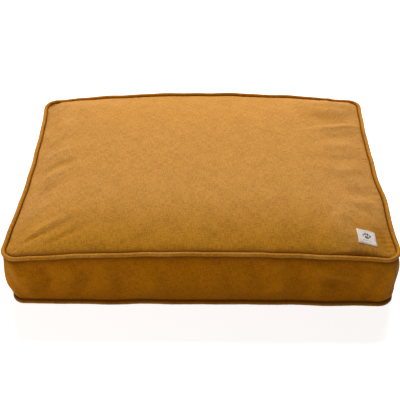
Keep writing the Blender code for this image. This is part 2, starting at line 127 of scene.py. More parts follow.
def outline_at(way):
    """The plan outline, a rounded oblong, at distances anticlockwise from the middle of the back.
    A point is the centre of a corner's round plus the corner radius along the outward direction;
    bow is one minus the square of the share of the way from a side's middle to its end."""
    way = np.mod(way, ROUND)
    centre_x = np.interp(way, TURNS, RUN_X * np.array([0, -1, -1, -1, -1, 1, 1, 1, 1, 0]))
    centre_y = np.interp(way, TURNS, RUN_Y * np.array([1, 1, 1, -1, -1, -1, -1, 1, 1, 1]))
    angle = np.interp(way, TURNS, math.pi / 2 * np.array([1, 1, 2, 2, 3, 3, 4, 4, 5, 5]))
    out_x, out_y = np.cos(angle), np.sin(angle)
    bow_x = 1 - (centre_x / RUN_X) ** 2
    bow_y = 1 - (centre_y / RUN_Y) ** 2
    lift = bow_x * np.where(centre_y > 0, BACK.lift, FRONT.lift)
    lift = lift + bow_y * np.where(centre_x > 0, RIGHT.lift, LEFT.lift)
    pinch = bow_x * np.where(centre_y > 0, BACK.pinch, FRONT.pinch)
    pinch = pinch + bow_y * np.where(centre_x > 0, RIGHT.pinch, LEFT.pinch)
    bulges = [0, 0, *[side.bulge for side in (LEFT, FRONT, RIGHT) for end in range(2)], 0, 0]
    belly = BAND_INSET - np.interp(way, TURNS, bulges)
    x, y = centre_x + CORNER_RADIUS * out_x, centre_y + CORNER_RADIUS * out_y
    inward, rise, bulge = seam_sway(x, y)
    return Outline(x, y, out_x, out_y, lift + rise, pinch + inward - bulge, belly, inward)


def bottom_rise(line):
    """Small lifts of the bottom seam off the floor, never below it."""
    return 0.0005 + 0.0005 * np.sin(29 * line.x + 31 * line.y + 0.8)


def bottom_tuck(x, y):
    """How far the bottom seam lies inside the top one: most at the front left corner, least at the
    front right; each is a bell curve of the distance from the corner."""
    left = bell(x + HALF_WIDTH, 0.075) * bell(y + HALF_DEPTH, 0.075)
    right = bell(x - HALF_WIDTH, 0.18) * bell(y + HALF_DEPTH, 0.18)
    return BOTTOM_INSET + 0.0038 * left - 0.0030 * right


def beside_seam(line, inset, height, top):
    """Points a given inset from a piping's outer edge, at a height over the top piping's centre or
    over the lifts of the bottom seam."""
    if top:
        inward = inset + line.pinch
        z = SEAM_HEIGHT + line.lift + height
    else:
        inward = inset + bottom_tuck(line.x, line.y) + line.pinch * BOTTOM_PINCH_SHARE + line.sway
        z = bottom_rise(line) + height
    return np.stack([line.x - line.out_x * inward, line.y - line.out_y * inward, z], -1)


# ---------------------------------------------------------------- making meshes


def grid_mesh(
    name, points, flat=None, round_rows=False, round_columns=False, flip=False, caps=False, marks=None
):
    """Quads on a grid of points (rows, columns, xyz). round_rows joins the last row to the first,
    and round_columns the last column. flat is where each point lies on the cut cloth, one line
    longer where the grid goes round. caps closes both ends of a tube. marks are values painted on
    the points, by name."""
    rows, columns = points.shape[:2]
    index = np.arange(rows * columns).reshape(rows, columns)
    if round_rows:
        index = np.vstack([index, index[:1]])
    if round_columns:
        index = np.hstack([index, index[:, :1]])
    places = np.arange(index.size).reshape(index.shape)
    corners = [(slice(0, -1), slice(0, -1)), (slice(1, None), slice(0, -1))]
    corners += [(slice(1, None), slice(1, None)), (slice(0, -1), slice(1, None))]
    order = corners[::-1] if flip else corners
    quads = np.stack([index[c] for c in order], -1).reshape(-1, 4)
    cut = np.stack([places[c] for c in order], -1).reshape(-1)
    loops, starts = quads.ravel(), np.arange(0, quads.size, 4)
    if caps:
        first, last = index[0, :columns], index[-1, :columns]
        ends = [first, last[::-1]] if flip else [first[::-1], last]
        starts = np.concatenate([starts, [quads.size, quads.size + columns]])
        loops = np.concatenate([loops, *ends])
        cut = np.concatenate([cut, np.zeros(2 * columns, int)])
    mesh = bpy.data.meshes.new(name)
    mesh.vertices.add(rows * columns)
    mesh.vertices.foreach_set("co", np.ascontiguousarray(points, np.float32).ravel())
    mesh.loops.add(len(loops))
    mesh.loops.foreach_set("vertex_index", loops.astype(np.int32))
    mesh.polygons.add(len(starts))
    mesh.polygons.foreach_set("loop_start", starts.astype(np.int32))
    mesh.update(calc_edges=True)
    if flat is not None:
        layer = mesh.uv_layers.new(name="cut cloth")
        layer.data.foreach_set("uv", flat.reshape(-1, 2)[cut].astype(np.float32).ravel())
    for mark, values in (marks or {}).items():
        painted = mesh.attributes.new(mark, "FLOAT", "POINT")
        painted.data.foreach_set("value", np.ascontiguousarray(values, np.float32).ravel())
    mesh.shade_smooth()
    return mesh


def piece(name, mesh, material, body, stands_for=()):
    """Put a finished mesh into the scene, riding on a body of the frame."""
    made = bpy.data.objects.new(name, mesh)
    bpy.context.scene.collection.objects.link(made)
    mesh.materials.clear()
    mesh.materials.append(material)
    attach(made, body)
    if stands_for:
        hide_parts(*stands_for)
    return made


def rework(mesh, change, *others):
    """Run a change on an editable copy of a mesh, with any others added to it, and write it back."""
    work = bmesh.new()
    for part in (mesh, *others):
        work.from_mesh(part)
    change(work)
    work.to_mesh(mesh)
    work.free()
    mesh.shade_smooth()


def weld(mesh, *others, reach=1e-6):
    """Join points that lie on each other, such as the corners of a lip."""
    rework(mesh, lambda work: bmesh.ops.remove_doubles(work, verts=work.verts, dist=reach), *others)


def face_out(mesh):
    """Turn every face to look outwards."""
    rework(mesh, lambda work: bmesh.ops.recalc_face_normals(work, faces=work.faces))


def thicken(made, thickness, offset=-1.0):
    """Give a surface the thickness of its cloth: inwards, or outwards with an offset of one."""
    wall = made.modifiers.new("cloth thickness", "SOLIDIFY")
    wall.thickness = thickness
    wall.offset = offset


def unit(vectors):
    """Each vector divided by its length."""
    return vectors / np.maximum(np.linalg.norm(vectors, axis=-1, keepdims=True), 1e-12)


def facing(points):
    """The direction that each point of a grid faces: along the rows crossed with along the columns."""
    return unit(np.cross(np.gradient(points, axis=0), np.gradient(points, axis=1)))


def grid_of(across, along):
    """Every pair of two rows of values, as a grid."""
    return np.stack(np.meshgrid(across, along, indexing="ij"), -1)


def read_grid(grid, across, along):
    """Values of a grid at in-between places, by straight lines both ways."""
    rows, columns = grid.shape[:2]
    low_x = np.clip(np.floor(across).astype(int), 0, rows - 2)
    low_y = np.clip(np.floor(along).astype(int), 0, columns - 2)
    part_x, part_y = (across - low_x)[..., None], (along - low_y)[..., None]
    before = grid[low_x, low_y] * (1 - part_y) + grid[low_x, low_y + 1] * part_y
    after = grid[low_x + 1, low_y] * (1 - part_y) + grid[low_x + 1, low_y + 1] * part_y
    return before * (1 - part_x) + after * part_x


# ---------------------------------------------------------------- letting the cloth settle


CANVAS_CLOTH = {
    "quality": 6,
    "mass": 0.25,
    "air_damping": 2.0,
    "tension_stiffness": 18.0,
    "compression_stiffness": 18.0,
    "shear_stiffness": 6.0,
    "bending_stiffness": 0.35,
    "vertex_group_mass": "held",
    "pin_stiffness": 1.0,
    "vertex_group_shrink": "ease",
    "shrink_min": 0.0,
    "use_pressure": True,
}
SETTLE_FRAMES = 22


def settle(name, points, held, ease, stretch, pressure, most, round_rows=False):
    """Run the cover cloth as a cut that is a little larger than the space it fills, so that it
    puckers as sewn canvas does. held is how firmly the filling keeps each point, ease how much
    larger the cut is there, and stretch the most that it is larger by. Returns how far each point
    moved, bent over towards most by a hyperbolic tangent, so never more than that."""
    mesh = grid_mesh(name, points, round_rows=round_rows)
    cloth = bpy.data.objects.new(name, mesh)
    bpy.context.scene.collection.objects.link(cloth)
    for group_name, weights in (("held", held), ("ease", ease)):
        group = cloth.vertex_groups.new(name=group_name)
        steps = np.round(np.clip(weights.ravel(), 0, 1), 2)
        for weight in np.unique(steps[steps > 0]):
            group.add(np.flatnonzero(steps == weight).tolist(), float(weight), "REPLACE")
    modifier = cloth.modifiers.new("cloth", "CLOTH")
    for key, value in CANVAS_CLOTH.items():
        setattr(modifier.settings, key, value)
    modifier.settings.shrink_max = -stretch
    modifier.settings.uniform_pressure_force = pressure
    modifier.settings.effector_weights.gravity = 0.0
    modifier.collision_settings.use_collision = False
    modifier.collision_settings.use_self_collision = False
    modifier.point_cache.frame_end = SETTLE_FRAMES
    scene = bpy.context.scene
    for number in range(1, SETTLE_FRAMES + 1):
        scene.frame_set(number)
    settled = cloth.evaluated_get(bpy.context.evaluated_depsgraph_get())
    after = np.empty(points.size, np.float32)
    settled.data.vertices.foreach_get("co", after)
    scene.frame_set(1)
    moved = after.reshape(points.shape) - points
    bpy.data.objects.remove(cloth)
    bpy.data.meshes.remove(mesh)
    length = np.linalg.norm(moved, axis=-1, keepdims=True)
    return moved * np.tanh(length / most) * most / np.maximum(length, 1e-9)


def between(places, count):
    """Weights that read an even row of values at in-between places by a Catmull-Rom curve."""
    start = np.clip(np.floor(places).astype(int), 0, count - 2)
    t = places - start
    shares = [-t + 2 * t**2 - t**3, 2 - 5 * t**2 + 3 * t**3, t + 4 * t**2 - 3 * t**3, t**3 - t**2]
    weights = np.zeros((len(places), count))
    for k, share in enumerate(shares):
        column = np.clip(start + k - 1, 0, count - 1)
        np.add.at(weights, (np.arange(len(places)), column), share / 2)
    return weights


# ---------------------------------------------------------------- top panel

Fold = namedtuple("Fold", "x1 y1 x2 y2 width height")
TOP_FOLDS = (
    Fold(-0.400, 0.215, -0.285, 0.290, 0.017, 0.0085),  # edge of the hollow in the back left corner
    Fold(-0.402, 0.258, -0.325, 0.300, 0.017, -0.0110),
    Fold(-0.380, 0.120, -0.300, 0.180, 0.012, 0.0030),
    Fold(-0.378, 0.060, -0.290, 0.110, 0.012, -0.0034),
    Fold(-0.378, 0.005, -0.270, 0.060, 0.011, 0.0046),
    Fold(-0.376, -0.038, -0.260, 0.015, 0.012, -0.0048),
    Fold(-0.374, -0.080, -0.270, -0.022, 0.012, 0.0050),
    Fold(-0.372, -0.128, -0.285, -0.066, 0.012, -0.0036),
    Fold(-0.372, -0.190, -0.300, -0.140, 0.010, 0.0026),
    Fold(-0.365, -0.262, -0.290, -0.236, 0.006, -0.0026),
    Fold(-0.300, -0.266, -0.230, -0.230, 0.006, -0.0028),
    Fold(-0.340, -0.228, -0.240, -0.206, 0.010, 0.0028),
    Fold(0.392, 0.200, 0.200, 0.165, 0.030, -0.0070),  # hollow behind the long crease
    Fold(0.392, 0.158, 0.205, 0.092, 0.010, 0.0048),
    Fold(0.384, 0.118, 0.260, 0.064, 0.013, -0.0030),
    Fold(0.378, 0.060, 0.220, 0.040, 0.014, 0.0030),
    Fold(0.376, 0.012, 0.230, -0.010, 0.013, -0.0030),
    Fold(0.376, -0.030, 0.245, -0.055, 0.014, 0.0034),
    Fold(0.384, -0.112, 0.290, -0.104, 0.017, -0.0036),  # hollow where the seam is drawn in
    Fold(0.376, -0.150, 0.270, -0.140, 0.014, 0.0034),
    Fold(0.330, -0.205, 0.285, -0.165, 0.007, -0.0016),
    Fold(0.335, -0.190, 0.265, -0.175, 0.020, 0.0020),
    Fold(0.306, -0.300, 0.282, -0.110, 0.026, 0.0072),  # ridge beside the label, and the fall behind it
    Fold(0.378, -0.300, 0.372, -0.150, 0.023, -0.0066),
    Fold(0.345, 0.255, 0.150, 0.270, 0.010, 0.0027),
    Fold(0.375, 0.235, 0.200, 0.238, 0.009, -0.0024),
)


def folds_over(x, y, folds):
    """Soft folds: each is a bell curve across its line, which wanders as a slow sine, and fades as
    a cubed half sine that is highest a third of the way along."""
    height = np.zeros_like(x)
    for fold in folds:
        run = np.array([fold.x2 - fold.x1, fold.y2 - fold.y1])
        length = np.hypot(*run)
        run = run / length
        along = ((x - fold.x1) * run[0] + (y - fold.y1) * run[1]) / length
        across = (y - fold.y1) * run[0] - (x - fold.x1) * run[1]
        wander = 0.25 * fold.width * np.sin(9 * along + 50 * fold.width)
        fade = np.sin(math.pi * np.clip(0.5 + 0.72 * (along - 0.36), 0, 1)) ** 3
        height += fold.height * bell(across + wander, fold.width) * fade
    return height


PUCKER_HEIGHT = 0.0050
FINE_PUCKER_HEIGHT = 0.0007


def edge_puckers(x, y, edge):
    """Fine gathers from the seam: sharp valleys between round crests, a power of the size of a sine
    whose length wanders, which die away within a few centimetres of the seam. They are strongest
    along the left side, and a faint sine along the front and back."""
    side_x = np.exp(-(PANEL_HALF_X - np.abs(x)) / np.where(x < 0, 0.034, 0.020))
    side_y = np.exp(-(PANEL_HALF_Y - np.abs(y)) / 0.012)
    slant = np.where(x < 0, 205 * y - 235 * x, 215 * y - 80 * x)
    crests = np.abs(np.sin(slant + 2.0 * np.sin(27 * y))) ** 0.6 - 0.7
    on_x = crests * (0.7 + 0.3 * np.sin(47 * y + 1)) * np.where(x < 0, 1.0, 0.5)
    on_y = np.sin(430 * x + 6 * np.sin(23 * x) + 90 * y) * (0.5 + 0.5 * np.sin(39 * x + 2))
    start = 1 - np.exp(-edge / 0.002)
    return start * (PUCKER_HEIGHT * side_x * on_x + FINE_PUCKER_HEIGHT * side_y * on_y)


def rounded_corners(x, y):
    """In each corner square a point keeps its direction from the round's centre, and its distance
    becomes the larger of its two offsets, so the square's edge falls on the round."""
    over_x = np.maximum(np.abs(x) - (PANEL_HALF_X - PANEL_CORNER), 0)
    over_y = np.maximum(np.abs(y) - (PANEL_HALF_Y - PANEL_CORNER), 0)
    reach = np.maximum(np.hypot(over_x, over_y), 1e-9)
    keep = np.where(reach > 1e-8, np.maximum(over_x, over_y) / reach, 1.0)
    plan_x = np.sign(x) * (np.abs(x) - over_x + over_x * keep)
    plan_y = np.sign(y) * (np.abs(y) - over_y + over_y * keep)
    return plan_x, plan_y


def seam_fields(x, y):
    """Spread the lift and the pinch of the four sides over the whole panel: lift by the square of
    the share of the way to a side, and pinch in proportion to it."""
    bow_x = np.maximum(1 - (x / RUN_X) ** 2, 0)
    bow_y = np.maximum(1 - (y / RUN_Y) ** 2, 0)
    to_back, to_right = (1 + y / PANEL_HALF_Y) / 2, (1 + x / PANEL_HALF_X) / 2
    lift = bow_x * (FRONT.lift * (1 - to_back) ** 2 + BACK.lift * to_back**2)
    lift = lift + bow_y * (LEFT.lift * (1 - to_right) ** 2 + RIGHT.lift * to_right**2)
    draw_x = np.where(x > 0, RIGHT.pinch, LEFT.pinch) * bow_y / PANEL_HALF_X
    draw_y = np.where(y > 0, BACK.pinch, FRONT.pinch) * bow_x / PANEL_HALF_Y
    return lift, draw_x, draw_y


def from_edge(x, y):
    """How far a place on a panel is from the panel's nearest edge."""
    return np.minimum(PANEL_HALF_X - np.abs(x), PANEL_HALF_Y - np.abs(y))


CROWN_POWER = 2.9
CROWN_EDGE = 0.9  # below one, the crown leaves the seam more steeply
GROOVE_DEPTH = 0.0024
GROOVE_WIDTH = 0.0030


def panel_surface(x_lines, y_lines, depth=0.0, detail=True, lip=0.0):
    """The crowned top. Height is the seam's height spread inwards, plus the rest of the rise times
    a crown: one minus a power of the share of the way to each edge, the two met by their harmonic
    mean, less a quick fall into the groove beside the piping. The first and last lines are a lip
    that hangs straight down inside the seam."""
    x, y = np.meshgrid(x_lines, y_lines, indexing="ij")
    plan_x, plan_y = rounded_corners(x, y)
    across = 1 - np.abs(x / PANEL_HALF_X) ** CROWN_POWER
    along = 1 - np.abs(y / PANEL_HALF_Y) ** CROWN_POWER
    crown = (2 * across * along / np.maximum(across + along, 1e-6)) ** CROWN_EDGE
    lift, draw_x, draw_y = seam_fields(plan_x, plan_y)
    rise = CROWN_TOP - SEAM_HEIGHT - lift
    inward, sway, bulge = seam_sway(plan_x * HALF_WIDTH / PANEL_HALF_X, plan_y * HALF_DEPTH / PANEL_HALF_Y)
    near = np.maximum(np.abs(x / PANEL_HALF_X), np.abs(y / PANEL_HALF_Y)) ** 8
    edge = from_edge(x, y)
    z = SEAM_HEIGHT + lift + rise * crown - GROOVE_DEPTH * np.exp(-edge / GROOVE_WIDTH) + sway * near
    if detail:
        start = 1 - np.exp(-edge / 0.004)
        z = z + folds_over(plan_x, plan_y, TOP_FOLDS) * start + edge_puckers(x, y, edge)
    inward = (inward - bulge) * near + depth
    out_x = plan_x * (1 - draw_x) * (1 - inward / PANEL_HALF_X)
    out_y = plan_y * (1 - draw_y) * (1 - inward / PANEL_HALF_Y)
    points = np.stack([out_x, out_y, z - depth], -1)
    if lip:
        points[[0, -1], :, 2] = points[[1, -2], :, 2] - lip
        points[:, [0, -1], 2] = points[:, [1, -2], 2] - lip
    return points


def cut_lines(half, step, edge):
    """Lines across a panel: crowded beside the seam, an even step apart in the middle."""
    inner = half - edge[-1]
    middle = np.linspace(-inner, inner, int(round(2 * inner / step)) + 1)
    return np.concatenate([-half + edge[:-1], middle, (half - edge[:-1])[::-1]])


# How far the lines beside a seam lie from it; the doubled first one makes the lip
NEAR_LINES = (0, 0, 0.0008, 0.0018, 0.003, 0.0046, 0.0066, 0.0092, 0.0124, 0.016, 0.0196, 0.0228)
EDGE_LINES = np.array([*NEAR_LINES, PANEL_CORNER])
SIDE_LINES = np.concatenate([EDGE_LINES, PANEL_CORNER + 0.0028 * np.arange(1, 22)])
SETTLE_STEP = 0.0066


def even_lines(half):
    """Lines an even step apart, from one edge to the other."""
    return np.linspace(-half, half, int(round(2 * half / SETTLE_STEP)) + 1)


def settled_top():
    """How far the top panel's cloth moves as it settles on the filling: pinned along the seam,
    freest a few centimetres inside it, and most at ease near the corners and sides."""
    x_lines, y_lines = even_lines(PANEL_HALF_X), even_lines(PANEL_HALF_Y)
    points = panel_surface(x_lines, y_lines)
    x, y = np.meshgrid(x_lines / PANEL_HALF_X, y_lines / PANEL_HALF_Y, indexing="ij")
    share = np.maximum(np.abs(x), np.abs(y))
    held = np.where(share > 0.999, 1.0, 0.02 + 0.06 * (1 - share) ** 0.5)
    corner = (np.abs(x * y)) ** 3
    ease = np.clip(0.25 + 0.55 * share**3 + 0.4 * corner, 0, 1)
    return settle("settling_top", points, held, ease, 0.018, 0.6, 0.006)


def top_cloth(x_lines, y_lines, moved, lip=0.0):
    """The crowned surface with the settled cloth's movement laid on it."""
    points = panel_surface(x_lines, y_lines, lip=lip)
    rows, columns = moved.shape[:2]
    read_x = between((x_lines + PANEL_HALF_X) / (2 * PANEL_HALF_X) * (rows - 1), rows)
    read_y = between((y_lines + PANEL_HALF_Y) / (2 * PANEL_HALF_Y) * (columns - 1), columns)
    return points + np.einsum("ia,jb,abk->ijk", read_x, read_y, moved, optimize=True)


FOLD_HIGHLIGHT = 60.0  # how fast a painted highlight grows with a fold's height, per metre; FOLD_SHADE is how fast painted shade grows with its depth
FOLD_SHADE = 35.0


def panel_marks(x_lines, y_lines):
    """Rubbed nap with painted sheen: paler over the top, more at its sides and corners, less over the
    front edge. Raised folds carry a painted highlight, and there is painted shade in sunk folds and
    in the hollow beside the piping."""
    x, y = np.meshgrid(x_lines, y_lines, indexing="ij")
    share_x, share_y = np.abs(x / PANEL_HALF_X), np.abs(y / PANEL_HALF_Y)
    # Painted sheen and rubbed nap, fading out over the front edge
    clear_of_front = np.clip((y + PANEL_HALF_Y) / 0.17, 0, 1)
    clear_of_front = clear_of_front**2 * (3 - 2 * clear_of_front)
    wear_and_highlight = (0.75 + 0.5 * share_x**6 + 0.1 * (x > 0) * share_x**2) * clear_of_front + 0.5 * (share_x * share_y) ** 4
    relief = folds_over(x, y, TOP_FOLDS) + edge_puckers(x, y, np.maximum(from_edge(x, y), 0))
    # Painted shade along the seams, widest beside the front piping, and in sunk folds
    side = bell(PANEL_HALF_X - np.abs(x), 0.0022)
    back = bell(PANEL_HALF_Y - y, 0.0022)
    front = bell(PANEL_HALF_Y + y, 0.0058)
    sunk = np.clip(-FOLD_SHADE * relief, 0, 0.30)
    seams = np.maximum(np.maximum(side, back) * 0.4, front)
    return {"wear_and_highlight": np.clip(wear_and_highlight + FOLD_HIGHLIGHT * relief, 0, 1), "painted_shade": np.maximum(seams, sunk)}


# ---------------------------------------------------------------- border

CORNER_MIDS = TURNS[1:9:2] + CORNER_ARC / 2
CORNER_FULLNESS = ((0.0020, 0.0010), (0.0050, -0.0012), (0.0030, 0.0042), (0.0020, 0.0010))  # high, low

TOP_RECESS = 0.0042  # the cloth turns in under the piping
FOOT_RECESS = 0.0022
RECESS_REACH = 0.0040


def from_corner(way):
    """How far a place on the way round is from the middle of the nearest corner."""
    return np.min(np.abs(way[:, None] - CORNER_MIDS), axis=1)


def border_surface(way, height, hem=None, moved=None):
    """The border between its two seams, on a grid of distance round the bed and share of height.
    It leaves each seam at a slant and reaches an upright middle: the share of the way out is one
    minus the square of what is left of the height. Each seam has a recess that fades as e to the
    minus distance."""
    line = outline_at(way[:, None])
    top_z = SEAM_HEIGHT + line.lift - PIPING_RADIUS - TOUCH
    foot_z = 2 * PIPING_RADIUS + TOUCH + bottom_rise(line)
    z = height(foot_z, top_z)
    top_inset = BAND_INSET + line.pinch
    foot_inset = BAND_INSET + bottom_tuck(line.x, line.y) + line.pinch * BOTTOM_PINCH_SHARE + line.sway
    upper = ZIP_HEIGHT + BELLY_HALF
    lower = ZIP_HEIGHT - BELLY_HALF
    left_up = np.clip((z - upper) / (top_z - upper), 0, 1)
    left_down = np.clip((lower - z) / (lower - foot_z), 0, 1)
    inset = line.belly + (top_inset - line.belly) * left_up**2 + (foot_inset - line.belly) * left_down**2
    share = np.clip((z - foot_z) / (top_z - foot_z), 0, 1)
    inset = inset - border_folds(way[:, None], share, line)
    inset = inset + TOP_RECESS * np.exp((z - top_z) / RECESS_REACH)
    inset = inset + FOOT_RECESS * np.exp((foot_z - z) / RECESS_REACH)
    if hem is not None:
        inset = inset - hem(z)
    points = np.stack([line.x - line.out_x * inset, line.y - line.out_y * inset, z + 0 * inset], -1)
    if moved is not None:
        rows, columns = moved.shape[:2]
        read = between(np.mod(way, ROUND) / ROUND * rows, rows + 1)
        joined = np.concatenate([moved, moved[:1]])
        lifted = np.einsum("ia,abk->ibk", read, joined, optimize=True)
        points = points + read_grid(lifted, np.arange(len(way))[:, None] + 0 * share, share * (columns - 1))
    return points


FOLD_TALL = 0.11  # the border's height in the folds' second measure; the first is the way round
BORDER_FOLDS = (
    Fold(1.026, 0.100, 1.034, 0.005, 0.012, 0.0052),
    Fold(1.068, 0.105, 1.062, 0.000, 0.013, -0.0060),
    Fold(1.104, 0.110, 1.116, 0.010, 0.014, 0.0052),
    Fold(1.150, 0.110, 1.140, 0.000, 0.016, -0.0039),
    Fold(1.230, 0.020, 1.360, 0.060, 0.016, 0.0035),
    Fold(1.420, 0.105, 1.560, 0.080, 0.010, -0.0042),
    Fold(1.570, 0.110, 1.730, 0.030, 0.012, 0.0070),
    Fold(1.600, 0.070, 1.760, 0.004, 0.014, -0.0063),
    Fold(1.660, 0.110, 1.770, 0.075, 0.008, -0.0049),
    Fold(1.560, 0.055, 1.470, 0.012, 0.012, 0.0042),
    Fold(1.850, 0.095, 2.020, 0.040, 0.014, 0.0056),
    Fold(2.060, 0.020, 2.200, 0.090, 0.014, -0.0052),
    Fold(0.470, 0.095, 0.600, 0.030, 0.014, 0.0052),
    Fold(0.700, 0.020, 0.860, 0.090, 0.014, -0.0052),
)


def border_folds(way, share, line):
    """Slow upright waves, fullest at mid height and uneven round the bed, slanting creases that fan
    from each corner, the corners' own fullness, and single folds placed by distance and height.
    The cloth beside the zip stays calm."""
    full = np.sin(math.pi * share) ** 0.8
    behind = np.clip((line.y - 0.27) / 0.02, 0, 1) * np.clip((RUN_X - np.abs(line.x)) / 0.05, 0, 1)
    calm = (1 - 0.9 * behind) * np.where(np.abs(line.out_x) > 0.9, 0.7, 1.0)
    turns = 2 * math.pi * way / ROUND
    swell = 0.55 + 0.45 * np.sin(7 * turns + 1.2)
    waves = 0.0030 * swell * np.sin(26 * turns + 1.7 * np.sin(5 * turns))
    waves = waves + 0.0015 * (1.2 - swell) * np.sin(43 * turns + 2.2 * share + 0.7)
    waves = waves + folds_over(way + 0 * share, FOLD_TALL * share + 0 * way, BORDER_FOLDS)
    creases = 0.0
    for number, (middle, (high, low)) in enumerate(zip(CORNER_MIDS, CORNER_FULLNESS)):
        off = way - middle
        slant = off + 0.035 * (share - 0.5) * np.sign(off)
        fan = 0.0026 * np.cos(150 * slant + number) * np.sin(math.pi * share) ** 0.7
        fullness = high * share**1.5 * np.sqrt(1 - share) + low * np.sqrt(share) * (1 - share) ** 1.5
        creases = creases + bell(off, 0.075) * fan + bell(off, 0.045) * fullness / 0.325
    return calm * (waves * full + creases)


def settled_border():
    """How far the border moves as it settles: pinned along both seams and held beside the zip."""
    rows, columns = int(ROUND / 0.0075), 18
    way = np.linspace(0, ROUND, rows, endpoint=False)
    share = np.linspace(0, 1, columns)
    points = border_surface(way, lambda low, high: low + (high - low) * share)
    line = outline_at(way)
    pinned = (share < 0.001) | (share > 0.999)
    behind = np.clip((line.y - 0.27) / 0.02, 0, 1) * np.clip((BAND_END + 0.04 - np.abs(line.x)) / 0.05, 0, 1)
    held = np.where(pinned[None], 1.0, 0.02 + 0.5 * behind[:, None])
    ease = 0.45 + 0.55 * bell(from_corner(way), 0.09)
    ease = np.repeat(ease[:, None] * (1 - behind[:, None]), columns, 1)
    moved = settle("settling_border", points, held, ease, 0.022, 0.5, 0.005, round_rows=True)
    return moved * (1 - 0.9 * behind)[:, None, None]


# ---------------------------------------------------------------- piping


def piping_section(sides):
    """The bias strip's path round the cord: up from the seam, round, and down again, given as
    inset from the piping's outer edge and rise from the cord's centre."""
    radius = PIPING_RADIUS - BIAS_STRIP / 2
    inner_inset = FLANGE_INSET + LAYER_PITCH
    first = math.asin((FLANGE_INSET - PIPING_RADIUS) / radius)
    last = math.asin((inner_inset - PIPING_RADIUS) / radius) - 2 * math.pi
    angle = np.linspace(first, last, sides)
    inset = PIPING_RADIUS + radius * np.sin(angle)
    rise = -radius * np.cos(angle)
    falls = np.linspace(-PIPING_RADIUS - SEAM_ALLOWANCE, rise[0], 5)[:-1]
    inset = np.concatenate([np.full(4, FLANGE_INSET), inset, np.full(4, inner_inset)])
    rise = np.concatenate([falls, rise, falls[::-1]])
    length = np.concatenate([[0], np.cumsum(np.hypot(np.diff(inset), np.diff(rise)))])
    return inset, rise, length


PIPING_STEP = 0.004
CORD_STEP = 0.005
WRAP = 22  # points round the cord


def make_piping(name, top, material, stands_for):
    """A bias strip wrapped round its cord, carried along the seam. Its roundness swells and pulls
    in by a few hundredths in slow sine waves, with slanting strain lines where it turns a corner.
    It is rubbed on its crest, with a painted highlight there, and has painted shade beneath and on the
    panel's side."""
    inset, rise, length = piping_section(WRAP)
    rows = int(ROUND / PIPING_STEP)
    way = np.linspace(0, ROUND, rows, endpoint=False)
    turn = np.linspace(0, 2 * math.pi, len(inset))[None]
    swell = 0.020 * np.sin(2 * math.pi * 61 * way / ROUND + 0.9)
    swell = swell + 0.016 * np.sin(2 * math.pi * 149 * way / ROUND)
    near = 0.35 + bell(from_corner(way), 0.045)[:, None]
    strain = 0.028 * np.sin(900 * way[:, None] + 2.0 * turn) * near
    swell = np.where(rise[None] > -PIPING_RADIUS, 1 + swell[:, None] + strain, 1.0)
    inset = PIPING_RADIUS + (inset[None] - PIPING_RADIUS) * swell
    rise = rise[None] * swell
    height = rise if top else np.maximum(PIPING_RADIUS - rise, 0.0002)
    points = beside_seam(outline_at(way[:, None]), inset, height, top)
    # Rubbed nap with a painted highlight on the crest; painted shade beneath and on the panel's side
    wear_and_highlight = np.clip(np.cos(turn - 2.95), 0, 1) ** 2 * (0.7 + 0.3 * np.sin(40 * way)[:, None])
    beneath = 0.8 * np.clip((0.25 - rise / PIPING_RADIUS) / 1.1, 0, 1) ** 1.5
    inside = 0.5 * np.clip((inset / PIPING_RADIUS - 1.76) / 0.20, 0, 1)
    marks = {"wear_and_highlight": wear_and_highlight, "painted_shade": np.maximum(beneath, inside)}
    flat = grid_of(np.append(way, ROUND), length)
    mesh = grid_mesh(name, points, flat, round_rows=True, flip=not top, marks=marks)
    made = piece(name, mesh, material, "bed", stands_for)
    thicken(made, BIAS_STRIP, 0.0)


def make_cord(name, top, material, stands_for):
    """The cotton cord inside the piping: a three-lobed section that turns as it goes."""
    sides = 12
    way = np.linspace(0, ROUND, int(ROUND / CORD_STEP), endpoint=False)
    angle = np.linspace(0, 2 * math.pi, sides, endpoint=False)[None]
    turns = 2 * math.pi * 70 * way[:, None] / ROUND
    radius = (PIPING_RADIUS - 2 * BIAS_STRIP) * (1 - 0.07 * np.cos(3 * angle - 3 * turns))
    inset, rise = PIPING_RADIUS - radius * np.cos(angle), radius * np.sin(angle)
    points = beside_seam(outline_at(way[:, None]), inset, rise if top else PIPING_RADIUS + rise, top)
    flat = grid_of(np.append(way, ROUND), np.append(angle[0], 2 * math.pi) * PIPING_RADIUS)
    mesh = grid_mesh(name, points, flat, round_rows=True, round_columns=True, flip=True)
    piece(name, mesh, material, "bed", stands_for)


# ---------------------------------------------------------------- inner pad


PAD_STEP = 0.011
PAD_WALL_LINES = 6
PAD_EDGE = np.array([0] * (PAD_WALL_LINES + 1) + [0.003, 0.008, 0.015, PANEL_CORNER])
PAD_FOOT = 0.004
PAD_ROUNDING = 0.012  # how far the pad's base and top edge are rounded off


